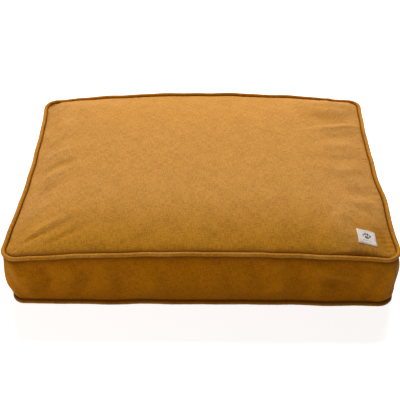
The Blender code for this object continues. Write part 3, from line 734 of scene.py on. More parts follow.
def make_pad(name, depth, material, stands_for):
    """A closed crowned form a given depth inside the cover: the top surface, a wall that falls
    from it and swells as a half sine, and a nearly flat base with soft lumps where the filling has
    moved. The outer lines of the grid lie on each other in plan and make the wall."""
    x_lines = cut_lines(PANEL_HALF_X, PAD_STEP, PAD_EDGE)
    y_lines = cut_lines(PANEL_HALF_Y, PAD_STEP, PAD_EDGE)
    top = panel_surface(x_lines, y_lines, depth, detail=False)
    x, y = top[..., 0], top[..., 1]
    lumps = 0.0012 * np.sin(29 * x + 8 * np.sin(11 * y)) * np.cos(33 * y + 5 * np.sin(13 * x))
    top[..., 2] += lumps - 0.0012
    lines = [np.minimum(np.arange(count), np.arange(count)[::-1]) for count in top.shape[:2]]
    rim = np.minimum(lines[0][:, None], lines[1][None])
    down = np.clip(PAD_WALL_LINES - rim, 0, PAD_WALL_LINES) / PAD_WALL_LINES
    foot = PAD_FOOT + depth
    top[..., 2] -= (top[..., 2] - PAD_ROUNDING - foot) * down
    top[..., :2] *= (1 + 0.012 * np.sin(math.pi * down))[..., None]
    wall_foot = top[0, :, 2].min()
    top[..., 2] = np.where(down >= 1, wall_foot, top[..., 2])
    keep = slice(PAD_WALL_LINES, -PAD_WALL_LINES)
    base = top[keep, keep].copy()
    inside = rim[keep, keep] - PAD_WALL_LINES
    rounding = PAD_ROUNDING * (1 - np.clip(inside, 0, 4) / 4) ** 2
    base[..., 2] = np.where(inside > 0, foot + rounding + 0.25 * np.abs(lumps[keep, keep]), wall_foot)
    mesh = grid_mesh(name, top, grid_of(x_lines, y_lines))
    base_mesh = grid_mesh(name + "_base", base, grid_of(x_lines[keep], y_lines[keep]), flip=True)
    weld(mesh, base_mesh, reach=2e-5)
    bpy.data.meshes.remove(base_mesh)
    piece(name, mesh, material, "bed", stands_for)


# ---------------------------------------------------------------- zip

PITCH = 0.00145
COIL_WIRE = 0.00034
HEAD_LAP = 0.0002  # how far each coil's heads reach past the zip's middle


def make_coil(name, side, material, stands_for):
    """Half of a coil zip: a flattened spiral of nylon that winds round the tape's edge. Each turn
    is an oval, its head reaches the middle of the chain, and the two halves are half a turn apart."""
    start, end = coil_low.x + COIL_WIRE, coil_high.x - COIL_WIRE
    turns = int((end - start) / PITCH)
    steps, sides = 8, 6
    turn = np.linspace(0, turns, turns * steps + 1)
    phase = 2 * math.pi * (turn + (0.5 if side < 0 else 0.0))
    thick = (coil_high.y - coil_low.y) / 2 - COIL_WIRE
    tall = (coil_high.z - coil_low.z) / 2 - HEAD_LAP
    x = start + (end - start) * turn / turns
    y = (coil_low.y + coil_high.y) / 2 + thick * np.sin(phase)
    z = ZIP_HEIGHT + side * (tall + (tall - COIL_WIRE + 2 * HEAD_LAP) * np.cos(phase))
    path = np.stack([x, y, z], -1)
    along = unit(np.gradient(path, axis=0))
    across = unit(np.cross(along, [1.0, 0.0, 0.0]))
    angle = np.linspace(0, 2 * math.pi, sides, endpoint=False)[:, None]
    ring = across[:, None] * np.cos(angle) + np.cross(across, along)[:, None] * np.sin(angle)
    mesh = grid_mesh(name, path[:, None] + COIL_WIRE * ring, round_columns=True, caps=True)
    face_out(mesh)
    piece(name, mesh, material, "bed", stands_for)


def make_tape(name, side, material, stands_for):
    """A woven tape beside the chain, with a slight sine wave along it."""
    low, high = tape_low, tape_high
    across = np.linspace(0, 1, 12)
    z = ZIP_HEIGHT + side * (low.z - ZIP_HEIGHT + (high.z - low.z) * across)
    x, z = np.meshgrid(np.linspace(low.x, high.x, 156), z, indexing="ij")
    y = high.y - 0.0001 + 0.0001 * np.sin(110 * x + 9 * across[None])
    flat = np.stack([x, np.broadcast_to(across * (high.z - low.z), x.shape)], -1)
    mesh = grid_mesh(name, np.stack([x, y, z], -1), flat, flip=side > 0)
    made = piece(name, mesh, material, "bed", stands_for)
    thicken(made, high.y - low.y - 0.0002)


def make_crimp(name, node, material):
    """A stop pressed on to the chain: a rounded block whose section is a fourth-power oval."""
    low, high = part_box(node)
    centre, half = (np.array(low) + np.array(high)) / 2, (np.array(high) - np.array(low)) / 2
    turn = np.linspace(0, 2 * math.pi, 20, endpoint=False)[None]
    tilt = np.linspace(-math.pi / 2, math.pi / 2, 12)[1:-1][:, None]

    def flattened(value):
        """The square root of a value, with its sign kept."""
        return np.sign(value) * np.abs(value) ** 0.5

    girth = flattened(np.cos(tilt))
    ring = [girth * flattened(np.cos(turn)), girth * flattened(np.sin(turn))]
    points = np.stack([*ring, flattened(np.sin(tilt)) + 0 * turn], -1) * half + centre
    mesh = grid_mesh(name, points, round_columns=True, caps=True, flip=True)
    piece(name, mesh, material, "bed", [node])


def make_casting(name, node, body, material, softness):
    """The die-cast metal part: the frame's own shape, its sharp edges rounded over."""
    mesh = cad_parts[node].data.copy()
    mesh.name = name
    weld(mesh)

    def join_level_faces(work):
        """Drop the edges between faces that lie within 0.02 radians of each other."""
        bmesh.ops.dissolve_limit(work, angle_limit=0.02, verts=work.verts, edges=work.edges)

    rework(mesh, join_level_faces)
    bevel = piece(name, mesh, material, body, [node]).modifiers.new("worn edges", "BEVEL")
    bevel.width = softness
    bevel.segments = 3
    bevel.limit_method = "ANGLE"


# ---------------------------------------------------------------- stitches


def make_stitches(name, places, along, out, length, thread, material):
    """A row of stitches: each is one short thread, a capsule that dips into the cloth at its ends.
    along and out are each stitch's direction and the way that the cloth faces there."""
    rings, sides = 6, 6
    share = np.linspace(0, 1, rings)
    girth = thread * np.sin(math.pi * (0.12 + 0.76 * share)) ** 0.5
    arch = 0.5 * thread * np.sin(math.pi * share) - 0.25 * thread
    angle = np.linspace(0, 2 * math.pi, sides, endpoint=False)
    across = np.cross(out, along)
    spine = places[:, None] + along[:, None] * ((share - 0.5) * length)[:, None]
    spine = spine + out[:, None] * arch[:, None]
    ring = across[:, None, None] * np.cos(angle)[:, None] + out[:, None, None] * np.sin(angle)[:, None]
    points = spine[:, :, None] + ring * girth[None, :, None, None]
    count = len(places)
    index = np.arange(count * rings * sides).reshape(count, rings, sides)
    ahead = np.roll(index, -1, axis=2)
    quads = np.stack([index[:, :-1], index[:, 1:], ahead[:, 1:], ahead[:, :-1]], -1).reshape(-1, 4)
    ends = np.concatenate([index[:, 0, :], index[:, -1, ::-1]])
    mesh = bpy.data.meshes.new(name)
    mesh.from_pydata(points.reshape(-1, 3).tolist(), [], quads.tolist() + ends.tolist())
    face_out(mesh)
    return piece(name, mesh, material, "bed")


def stitches_on(name, line, facings, length, gap, thread, material, slot):
    """Space stitches evenly along a line of points, lying on a cloth that faces the given ways."""
    way = np.concatenate([[0], np.cumsum(np.linalg.norm(np.diff(line, axis=0), axis=1))])

    def read(values, places):
        """Values at given distances along the line."""
        return np.stack([np.interp(places, way, values[:, k]) for k in range(3)], -1)

    count = max(int(way[-1] / (length + gap)), 1)
    at = (np.arange(count) + 0.5) * way[-1] / count
    along = unit(read(line, at + 0.0005) - read(line, at - 0.0005))
    return make_stitches(name, read(line, at), along, unit(read(facings, at)), length, thread, material)


# ---------------------------------------------------------------- materials


def add(tree, kind, inputs=None, **settings):
    """Place a shader node; an input takes a value or another node's socket."""
    made = tree.nodes.new(kind)
    for key, value in settings.items():
        setattr(made, key, value)
    for key, value in (inputs or {}).items():
        if isinstance(value, bpy.types.NodeSocket):
            tree.links.new(value, made.inputs[key])
        else:
            made.inputs[key].default_value = value
    return made


def worked(tree, operation, *values, clamp=False):
    """One step of arithmetic on values or sockets."""
    inputs = dict(enumerate(values))
    return add(tree, "ShaderNodeMath", inputs, operation=operation, use_clamp=clamp).outputs[0]


def times(tree, *values, clamp=False):
    """Two values multiplied together."""
    return worked(tree, "MULTIPLY", *values, clamp=clamp)


def plus(tree, *values):
    """Two values added together."""
    return worked(tree, "ADD", *values)


def vector_step(tree, operation, *values):
    """One step of arithmetic on places; the node's result has its own name for each kind."""
    return add(tree, "ShaderNodeVectorMath", dict(enumerate(values)), operation=operation)


def scaled(tree, vector, x, y, z=1.0):
    """A place stretched by a factor each way."""
    return vector_step(tree, "MULTIPLY", vector, (x, y, z)).outputs[0]


def split_of(tree, vector):
    """The three numbers of a place."""
    return add(tree, "ShaderNodeSeparateXYZ", {0: vector}).outputs


def blend_of(tree, factor, first, second):
    """A colour between two others, each three numbers or a socket."""
    inputs = {0: factor, 6: first, 7: second}
    for key in (6, 7):
        if not isinstance(inputs[key], bpy.types.NodeSocket):
            inputs[key] = (*inputs[key], 1.0)
    return add(tree, "ShaderNodeMix", inputs, data_type="RGBA").outputs[2]


def ramp_of(tree, value, low, high, start=0.0, end=1.0):
    """A smooth step from start to end while the value goes from low to high."""
    inputs = dict(enumerate((value, low, high, start, end)))
    return add(tree, "ShaderNodeMapRange", inputs, interpolation_type="SMOOTHSTEP").outputs[0]


def noise_of(tree, vector, scale, detail, roughness):
    """Cloudy noise, finer as its scale goes up and rougher with more detail."""
    inputs = {"Vector": vector, "Scale": scale, "Detail": detail, "Roughness": roughness}
    return add(tree, "ShaderNodeTexNoise", inputs).outputs[0]


def own_place(tree):
    """Where a point lies in its piece's own space."""
    return add(tree, "ShaderNodeTexCoord").outputs["Object"]


def painted(tree, name, output="Fac"):
    """A value that grid_mesh painted on the points."""
    return add(tree, "ShaderNodeAttribute", attribute_name=name).outputs[output]


VECTOR, FLOAT = "NodeSocketVector", "NodeSocketFloat"


def new_group(name, inputs, outputs):
    """An empty node group with the named inputs and outputs."""
    tree = bpy.data.node_groups.new(name, "ShaderNodeTree")
    for way, sockets in (("INPUT", inputs), ("OUTPUT", outputs)):
        for socket_name, kind in sockets:
            tree.interface.new_socket(socket_name, in_out=way, socket_type=kind)
    return tree, tree.nodes.new("NodeGroupInput").outputs, tree.nodes.new("NodeGroupOutput").inputs


def group(tree, source, **inputs):
    """Place a node group and give its outputs."""
    return add(tree, "ShaderNodeGroup", inputs, node_tree=source).outputs


def plain_weave():
    """Warp and weft take turns on top. A thread is a half sine wave across its width; the sign of
    the product of the two waves says which one lies over the other."""
    inputs = [("Cloth", VECTOR), ("Threads", FLOAT)]
    tree, given, result = new_group("plain weave", inputs, [("Height", FLOAT)])
    stretch = {0: given["Cloth"], "Scale": given["Threads"]}
    place = add(tree, "ShaderNodeVectorMath", stretch, operation="SCALE")
    split = split_of(tree, place.outputs[0])
    waves = [worked(tree, "SINE", times(tree, split[k], math.pi)) for k in (0, 1)]
    over = ramp_of(tree, times(tree, *waves), -0.12, 0.12)
    sides = [worked(tree, "ABSOLUTE", wave) for wave in waves]
    warp = times(tree, sides[0], over)
    weft = times(tree, sides[1], worked(tree, "SUBTRACT", 1.0, over))
    tree.links.new(plus(tree, warp, weft), result["Height"])
    return tree


def heathered_yarn():
    """Uneven yarn: long thin patches of noise along each thread direction, small flecks, and slow
    clouds of colour. Tone, their weighted sum, is for colour and Slub, the patches, for height."""
    outputs = [("Tone", FLOAT), ("Slub", FLOAT)]
    tree, given, result = new_group("heathered yarn", [("Cloth", VECTOR)], outputs)
    cloth = given["Cloth"]
    warp = noise_of(tree, scaled(tree, cloth, 620.0, 80.0), 1.0, 4.0, 0.7)
    weft = noise_of(tree, scaled(tree, cloth, 80.0, 620.0), 1.0, 4.0, 0.7)
    flecks = noise_of(tree, scaled(tree, cloth, 640.0, 640.0), 1.0, 3.0, 0.65)
    clouds = noise_of(tree, scaled(tree, cloth, 26.0, 26.0), 1.0, 3.0, 0.55)
    yarn = plus(tree, warp, weft)
    tone = plus(tree, times(tree, yarn, 0.55), times(tree, flecks, 0.25))
    tone = plus(tree, tone, times(tree, clouds, 0.16))
    tree.links.new(ramp_of(tree, tone, 0.64, 0.86), result["Tone"])
    tree.links.new(ramp_of(tree, times(tree, yarn, 0.5), 0.3, 0.7), result["Slub"])
    return tree


def rubbed_nap_and_highlight():
    """Where the brushed nap is rubbed pale and a painted sheen lies: the mask painted on the piece, broken up
    by noise.
    """
    tree, given, result = new_group("rubbed nap and painted highlight", [("Cloth", VECTOR), ("Wear", FLOAT)], [("Mask", FLOAT)])
    patches = noise_of(tree, scaled(tree, given["Cloth"], 150.0, 150.0), 1.0, 3.0, 0.6)
    rubbed_and_highlight = times(tree, given["Wear"], ramp_of(tree, patches, 0.3, 0.7, 0.66, 0.94))
    tree.links.new(worked(tree, "MINIMUM", rubbed_and_highlight, 1.0), result["Mask"])
    return tree


WEAVE, YARN, NAP_AND_HIGHLIGHT = plain_weave(), heathered_yarn(), rubbed_nap_and_highlight()


def new_material(name):
    """A material and its node tree."""
    made = bpy.data.materials.new(name)
    made.use_nodes = True
    return made, made.node_tree


def finished(made, colour, roughness, height, distance, strength, **plain):
    """Join up a material's shader; plain gives what is the same all over the surface."""
    tree = made.node_tree
    shader = tree.nodes["Principled BSDF"]
    tree.links.new(colour, shader.inputs["Base Color"])
    tree.links.new(roughness, shader.inputs["Roughness"])
    bump = add(tree, "ShaderNodeBump", {"Height": height, "Distance": distance, "Strength": strength})
    tree.links.new(bump.outputs[0], shader.inputs["Normal"])
    for key, value in plain.items():
        shader.inputs[key].default_value = value
    return made


def cut_cloth(tree, turn=0.0):
    """Where a point lies on the flat cut, turned for cloth that is cut on the bias."""
    flat = add(tree, "ShaderNodeUVMap", uv_map="cut cloth").outputs[0]
    if not turn:
        return flat
    return add(tree, "ShaderNodeMapping", {"Vector": flat, "Rotation": (0, 0, turn)}).outputs[0]


CANVAS_THREADS = 900.0
DULL, BRIGHT = (0.84, 0.76, 0.50), (1.12, 1.14, 1.25)  # shares of the rubbed-nap and painted-sheen colour in its two yarns
PAINTED_SHADE_SHARES = (0.50, 0.36, 0.30)  # shares of the deep colour for painted shade in hollows and sunk folds
WARM_GLEAM = (1.0, 0.80, 0.40, 1.0)
WARM_SHEEN = (1.0, 0.80, 0.42, 1.0)


def canvas(name, deep, light, rubbed_and_highlight, gloss, turn=0.0):
    """Brushed cotton canvas: heathered yarn in a plain weave, its deep and light colours blended by
    the yarn's tone, paler with rubbed nap and painted sheen, and darker with painted shade in the hollows."""
    made, tree = new_material(name)
    cloth = cut_cloth(tree, turn)
    yarn = group(tree, YARN, Cloth=cloth)
    threads = group(tree, WEAVE, Cloth=cloth, Threads=CANVAS_THREADS)["Height"]
    nap_and_highlight = group(tree, NAP_AND_HIGHLIGHT, Cloth=cloth, Wear=painted(tree, "wear_and_highlight"))["Mask"]
    gaps = ramp_of(tree, threads, 0.0, 0.55)
    tone = plus(tree, yarn["Tone"], times(tree, gaps, 0.35))
    tone = worked(tree, "SUBTRACT", tone, 0.18, clamp=True)
    dull = [value * share for value, share in zip(rubbed_and_highlight, DULL)]
    bright = [min(value * share, 1.0) for value, share in zip(rubbed_and_highlight, BRIGHT)]
    shade = [value * share for value, share in zip(deep, PAINTED_SHADE_SHARES)]
    colour = blend_of(tree, tone, deep, light)
    # Paler with rubbed nap and painted sheen, then darker with painted shade in the hollows
    colour = blend_of(tree, times(tree, nap_and_highlight, 0.6), colour, blend_of(tree, tone, dull, bright))
    colour = blend_of(tree, times(tree, painted(tree, "painted_shade"), 0.9, clamp=True), colour, shade)
    roughness = ramp_of(tree, yarn["Slub"], 0.0, 1.0, 0.66, 0.52)
    height = plus(tree, times(tree, threads, 0.5), yarn["Slub"])
    gleam = {"Specular IOR Level": gloss, "Specular Tint": WARM_GLEAM}
    nap_sheen = {"Sheen Weight": 0.03, "Sheen Roughness": 0.4, "Sheen Tint": WARM_SHEEN}
    return finished(made, colour, roughness, height, 0.0006, 0.7, **gleam, **nap_sheen)


def plain_cotton(name, deep, light, threads):
    """Undyed cotton, for the liner, the piping cord and the care label."""
    made, tree = new_material(name)
    cloth = cut_cloth(tree)
    yarn = group(tree, YARN, Cloth=cloth)
    weave = group(tree, WEAVE, Cloth=cloth, Threads=threads)["Height"]
    roughness = ramp_of(tree, yarn["Slub"], 0.0, 1.0, 0.95, 0.8)
    height = plus(tree, weave, times(tree, yarn["Slub"], 0.5))
    colour = blend_of(tree, yarn["Tone"], deep, light)
    return finished(made, colour, roughness, height, 0.0003, 0.5, **{"Sheen Weight": 0.2})


def fluffy_fibre(name):
    """Polyester filling: tangled noise in the piece's own space."""
    made, tree = new_material(name)
    tangle = noise_of(tree, own_place(tree), 240.0, 6.0, 0.7)
    colour = blend_of(tree, tangle, (0.62, 0.61, 0.58), (0.90, 0.90, 0.88))
    roughness = ramp_of(tree, tangle, 0.2, 0.8, 1.0, 0.9)
    return finished(made, colour, roughness, tangle, 0.002, 0.8, **{"Sheen Weight": 0.5})


def ribbed_tape(name, deep, light):
    """Zip tape: fine ribs along its length under a twill slant, both sine waves."""
    made, tree = new_material(name)
    cloth = cut_cloth(tree)
    yarn = group(tree, YARN, Cloth=cloth)
    along, across = [times(tree, share, 5200.0) for share in split_of(tree, cloth)[:2]]
    slant = worked(tree, "SINE", plus(tree, along, across))
    height = plus(tree, slant, worked(tree, "SINE", times(tree, across, 1.7)))
    shade = ramp_of(tree, plus(tree, height, yarn["Tone"]), -1.5, 2.5)
    roughness = ramp_of(tree, yarn["Slub"], 0.0, 1.0, 0.85, 0.7)
    return finished(made, blend_of(tree, shade, deep, light), roughness, height, 0.00015, 0.6)


def nylon(name, deep, light):
    """Drawn nylon: nearly smooth, with faint streaks and duller patches."""
    made, tree = new_material(name)
    streaks = noise_of(tree, scaled(tree, own_place(tree), 300.0, 2200.0, 2200.0), 1.0, 3.0, 0.6)
    roughness = ramp_of(tree, streaks, 0.3, 0.7, 0.28, 0.45)
    return finished(made, blend_of(tree, streaks, deep, light), roughness, streaks, 0.00005, 0.4)


def aged_brass(name):
    """Plated zinc gone dull: darker in patches, brighter and smoother where fingers rub it."""
    made, tree = new_material(name)
    place = own_place(tree)
    patches = noise_of(tree, place, 420.0, 5.0, 0.6)
    scratches = noise_of(tree, scaled(tree, place, 900.0, 900.0, 5200.0), 1.0, 3.0, 0.7)
    tarnish = ramp_of(tree, patches, 0.38, 0.66)
    colour = blend_of(tree, tarnish, (0.42, 0.30, 0.15), (0.20, 0.135, 0.07))
    roughness = ramp_of(tree, plus(tree, patches, scratches), 0.7, 1.3, 0.24, 0.5)
    return finished(made, colour, roughness, scratches, 0.00006, 0.5, Metallic=1.0)


# Each pad of the paw: its middle and half widths, as shares of the label
PAW = (
    (0.50, 0.47, 0.135, 0.105),
    (0.315, 0.605, 0.052, 0.078),
    (0.435, 0.700, 0.054, 0.084),
    (0.565, 0.700, 0.054, 0.084),
    (0.685, 0.605, 0.052, 0.078),
)
BAR_HEIGHT = 0.235


def woven_badge(name, threads):
    """Satin label cloth with a paw print and a plain bar woven in grey. Each pad of the paw is an
    oval: the length of its place divided by its two half widths is less than one."""
    made, tree = new_material(name)
    cloth = cut_cloth(tree)
    tone = group(tree, YARN, Cloth=cloth)["Tone"]
    weave = group(tree, WEAVE, Cloth=cloth, Threads=threads)["Height"]
    share = painted(tree, "face", "Vector")
    split = split_of(tree, share)
    off_x = worked(tree, "ABSOLUTE", worked(tree, "SUBTRACT", split[0], 0.5))
    off_y = worked(tree, "ABSOLUTE", worked(tree, "SUBTRACT", split[1], BAR_HEIGHT))
    bar = times(tree, ramp_of(tree, off_x, 0.27, 0.25), ramp_of(tree, off_y, 0.022, 0.012))
    mark = times(tree, bar, 0.55)
    for x, y, half_x, half_y in PAW:
        off = vector_step(tree, "SUBTRACT", share, (x, y, 0)).outputs[0]
        off = vector_step(tree, "DIVIDE", off, (half_x, half_y, 1)).outputs[0]
        far = vector_step(tree, "LENGTH", off).outputs["Value"]
        mark = worked(tree, "MAXIMUM", mark, ramp_of(tree, far, 1.08, 0.92))
    ground = blend_of(tree, tone, (0.72, 0.63, 0.57), (0.92, 0.85, 0.79))
    ink = blend_of(tree, tone, (0.035, 0.035, 0.045), (0.085, 0.08, 0.09))
    roughness = ramp_of(tree, weave, 0.0, 1.0, 0.75, 0.5)
    height = plus(tree, weave, times(tree, mark, 0.8))
    colour = blend_of(tree, mark, ground, ink)
    return finished(made, colour, roughness, height, 0.00015, 0.5, **{"Sheen Weight": 0.15})


def spun_thread(name, deep, light):
    """Sewing thread: a fine slant twist in the piece's own space."""
    made, tree = new_material(name)
    inputs = {"Vector": own_place(tree), "Scale": 900.0, "Distortion": 1.0}
    twist = add(tree, "ShaderNodeTexWave", inputs).outputs["Fac"]
    roughness = ramp_of(tree, twist, 0.0, 1.0, 0.8, 0.6)
    colour = blend_of(tree, twist, deep, light)
    return finished(made, colour, roughness, twist, 0.0001, 0.5, **{"Sheen Weight": 0.2})


# Deep yarn, light yarn, and rubbed nap with painted sheen
PANEL_COLOURS = (0.355, 0.133, 0.002), (0.64, 0.267, 0.005), (0.672, 0.344, 0.117)
BORDER_COLOURS = (0.34, 0.103, 0.001), (0.59, 0.202, 0.001), (0.65, 0.265, 0.006)
BIAS_COLOURS = (0.27, 0.096, 0.001), (0.57, 0.218, 0.004), (0.77, 0.365, 0.075)

panel_canvas = canvas("mustard panel canvas", *PANEL_COLOURS, 0.22)
border_canvas = canvas("mustard border canvas", *BORDER_COLOURS, 0.10)
bias_canvas = canvas("mustard bias strip", *BIAS_COLOURS, 0.16, math.pi / 4)
liner_cotton = plain_cotton("liner cotton", (0.60, 0.58, 0.54), (0.82, 0.80, 0.76), 1400.0)
cord_cotton = plain_cotton("cord cotton", (0.55, 0.50, 0.42), (0.78, 0.74, 0.66), 700.0)
care_satin = plain_cotton("care label satin", (0.46, 0.44, 0.40), (0.62, 0.60, 0.55), 2000.0)
filling_fibre = fluffy_fibre("filling fibre")
tape_cloth = ribbed_tape("zip tape cloth", (0.13, 0.055, 0.010), (0.30, 0.135, 0.026))
coil_nylon = nylon("zip coil nylon", (0.12, 0.050, 0.010), (0.24, 0.110, 0.025))
brass = aged_brass("aged brass")
badge = woven_badge("paw print label", 2600.0)
mustard_thread = spun_thread("mustard thread", (0.24, 0.095, 0.010), (0.52, 0.23, 0.035))
grey_thread = spun_thread("pale thread", (0.45, 0.42, 0.38), (0.75, 0.72, 0.66))


# ---------------------------------------------------------------- the cover

SIDE_STEP = 0.0056  # between the top panel's lines from side to side, and from front to back
DEPTH_STEP = 0.0027
BASE_STEP = 0.0075
LIP = 0.008

top_moved = settled_top()
x_lines = cut_lines(PANEL_HALF_X, SIDE_STEP, SIDE_LINES)
y_lines = cut_lines(PANEL_HALF_Y, DEPTH_STEP, EDGE_LINES)
top_points = top_cloth(x_lines, y_lines, top_moved, LIP)
top_marks = panel_marks(x_lines, y_lines)
top_mesh = grid_mesh("top_panel_canvas", top_points, grid_of(x_lines, y_lines), marks=top_marks)
weld(top_mesh)
top_panel = piece("top_panel_canvas", top_mesh, panel_canvas, "bed", ["top_panel"])
thicken(top_panel, FABRIC)


def base_surface(x_lines, y_lines):
    """The bottom panel: flat on the floor but for faint waves, and turned up to the bottom seam
    over its last 10 mm by a square."""
    x, y = np.meshgrid(x_lines, y_lines, indexing="ij")
    plan_x, plan_y = rounded_corners(x, y)
    bow_x, bow_y = np.maximum(1 - (plan_x / RUN_X) ** 2, 0), np.maximum(1 - (plan_y / RUN_Y) ** 2, 0)
    tuck = bottom_tuck(plan_x, plan_y)
    draw_x = np.where(x > 0, RIGHT.pinch, LEFT.pinch) * bow_y * BOTTOM_PINCH_SHARE + tuck
    draw_y = np.where(y > 0, BACK.pinch, FRONT.pinch) * bow_x * BOTTOM_PINCH_SHARE + tuck
    up = np.clip(1 - from_edge(x, y) / 0.010, 0, 1)
    waves = 1 + np.sin(71 * x + 3 * np.sin(40 * y)) * np.cos(67 * y)
    z = PIPING_RADIUS * up**2 + 0.00025 * (1 - up) * waves
    points = np.stack([plan_x * (1 - draw_x / PANEL_HALF_X), plan_y * (1 - draw_y / PANEL_HALF_Y), z], -1)
    points[[0, -1], :, 2] = PIPING_RADIUS + 0.010
    points[:, [0, -1], 2] = PIPING_RADIUS + 0.010
    return points


base_x, base_y = [cut_lines(half, BASE_STEP, EDGE_LINES) for half in (PANEL_HALF_X, PANEL_HALF_Y)]
base_mesh = grid_mesh("bottom_panel_canvas", base_surface(base_x, base_y), grid_of(base_x, base_y), flip=True)
weld(base_mesh)
bottom_panel = piece("bottom_panel_canvas", base_mesh, panel_canvas, "bed", ["bottom_panel"])
thicken(bottom_panel, FABRIC)

border_moved = settled_border()


def make_band(name, way, height, stands_for, hem=None):
    """One strip of the border, with its cut flattened to distance round the bed and height. Its nap
    is rubbed pale at the corners; raised folds carry a painted highlight, and there is painted shade under
    the piping and in sunk folds."""
    points = border_surface(way, height, hem, border_moved)
    flat_z = points[..., 2]
    flat = np.stack([np.repeat(way[:, None], points.shape[1], 1), flat_z], -1)
    line = outline_at(way[:, None])
    under_top = SEAM_HEIGHT + line.lift - PIPING_RADIUS - flat_z
    over_foot = flat_z - 2 * PIPING_RADIUS - bottom_rise(line)
    # Painted shade under the top piping and over the foot piping
    painted_shade = 0.66 * bell(under_top, 0.0062) + 0.36 * bell(under_top, 0.017) + 0.8 * bell(over_foot, 0.0040)
    relief = border_folds(way[:, None], np.clip(over_foot / (over_foot + under_top), 0, 1), line)
    # Rubbed pale at the corners, with a painted highlight on raised folds; painted shade in sunk folds
    wear_and_highlight = np.clip(0.8 * bell(from_corner(way), 0.02)[:, None] + FOLD_HIGHLIGHT * relief, 0, 1)
    painted_shade = np.maximum(painted_shade, np.clip(-FOLD_SHADE * relief, 0, 0.25))
    mesh = grid_mesh(name, points, flat, marks={"wear_and_highlight": wear_and_highlight, "painted_shade": painted_shade})
    made = piece(name, mesh, border_canvas, "bed", stands_for)
    thicken(made, FABRIC)
    return points


def filling_height(shares):
    """Heights that are given shares of the way from the bottom seam to the top one."""
    return lambda low, high: low + (high - low) * shares


crowded = np.linspace(-1, 1, 42)  # closer together near both seams
crowded = (1 + np.sign(crowded) * (1 - (1 - np.abs(crowded)) ** 1.5)) / 2
band_way = np.linspace(BAND_END, ROUND - BAND_END, 590)
make_band("border_canvas", band_way, filling_height(crowded), ["border_band"])

HEM_WIDTH = 0.0036


def folded_hem(z):
    """The folded edge beside the zip stands proud as a soft roll, a power of a half sine, dips
    under its row of stitches, and rises again over the turned-in end of the cloth, both as bells."""
    off = np.abs(z - ZIP_HEIGHT) - BAND_GAP
    roll = 0.0008 * np.sin(math.pi * np.clip(off / HEM_WIDTH, 0, 1)) ** 0.7
    return roll - 0.0003 * bell(off - HEM_WIDTH, 0.0006) + 0.0004 * bell(off - 0.0072, 0.0022)


hem_steps = np.concatenate([np.linspace(0, 0.0048, 13), np.linspace(0.0048, 0.012, 9)[1:]])
rest = np.linspace(0, 1, 20)[1:]
zip_way = np.linspace(-BAND_END + TOUCH, BAND_END - TOUCH, 172)


def above_zip(low, high):
    """Fine steps across the hem, then even ones up to the seam."""
    steps = ZIP_HEIGHT + BAND_GAP + hem_steps + 0 * high
    return np.concatenate([steps, steps[:, -1:] + (high - steps[:, -1:]) * rest], 1)


def below_zip(low, high):
    """The same the other way, from the lower seam up to the hem."""
    steps = ZIP_HEIGHT - BAND_GAP - hem_steps + 0 * low
    return np.concatenate([steps, steps[:, -1:] + (low - steps[:, -1:]) * rest], 1)[:, ::-1]


upper_points = make_band("upper_zip_band_canvas", zip_way, above_zip, ["zip_band_upper"], folded_hem)
lower_points = make_band("lower_zip_band_canvas", zip_way, below_zip, ["zip_band_lower"], folded_hem)

make_piping("top_piping_strip", True, bias_canvas, ["top_piping_cover"])
make_piping("bottom_piping_strip", False, bias_canvas, ["bottom_piping_cover"])
make_cord("top_piping_filler", True, cord_cotton, ["top_piping_cord"])
make_cord("bottom_piping_filler", False, cord_cotton, ["bottom_piping_cord"])

liner_nodes = ["liner_top", "liner_bottom", "liner_border"]
make_pad("inner_pad_liner", 0.0065, liner_cotton, liner_nodes)
make_pad("inner_pad_fibre", 0.0090, filling_fibre, ["filling"])

# ---------------------------------------------------------------- the zip

make_coil("upper_zip_coil", 1, coil_nylon, ["zip_coil_upper"])
make_coil("lower_zip_coil", -1, coil_nylon, ["zip_coil_lower"])
make_tape("upper_zip_tape", 1, tape_cloth, ["zip_tape_upper"])
make_tape("lower_zip_tape", -1, tape_cloth, ["zip_tape_lower"])
make_crimp("upper_top_stop", "zip_top_stop_upper", brass)
make_crimp("lower_top_stop", "zip_top_stop_lower", brass)
make_crimp("bottom_stop", "zip_bottom_stop", brass)
make_casting("slider_casting", "zip_slider", "slider", brass, 0.00022)
make_casting("pull_tab_casting", "zip_pull_tab", "pull_tab", brass, 0.00022)

COVER_STITCH = (0.0026, 0.0009, 0.00028, mustard_thread, "border_cloth")  # length, gap, thread

stitch_at = int(np.argmin(np.abs(hem_steps - HEM_WIDTH)))
for name, points, column in (
    ("upper_hem_stitches", upper_points, stitch_at),
    ("lower_hem_stitches", lower_points, -1 - stitch_at),
):
    stitches_on(name, points[:, column], facing(points)[:, column], *COVER_STITCH)

from_join = BAND_END + 0.004
for name, way in (("left_join_stitches", from_join), ("right_join_stitches", ROUND - from_join)):
    column = np.array([way - 0.001, way, way + 0.001])
    points = border_surface(column, filling_height(np.linspace(0.02, 0.98, 60)), None, border_moved)
    stitches_on(name, points[1], facing(points)[1], *COVER_STITCH)

# ---------------------------------------------------------------- labels


LABEL_TURN = math.radians(-2.5)
LABEL_LINES = 26
LABEL_READ = 60  # lines of the panel's surface that the label is read from


def round_trip(grid, inner):
    """A closed walk round a grid, a given number of lines inside its rim."""
    keep = slice(inner, -inner)
    out = [grid[keep, inner], grid[-inner, keep]]
    back = [grid[keep, -inner][::-1], grid[inner, keep][::-1]]
    return np.concatenate(out + back)


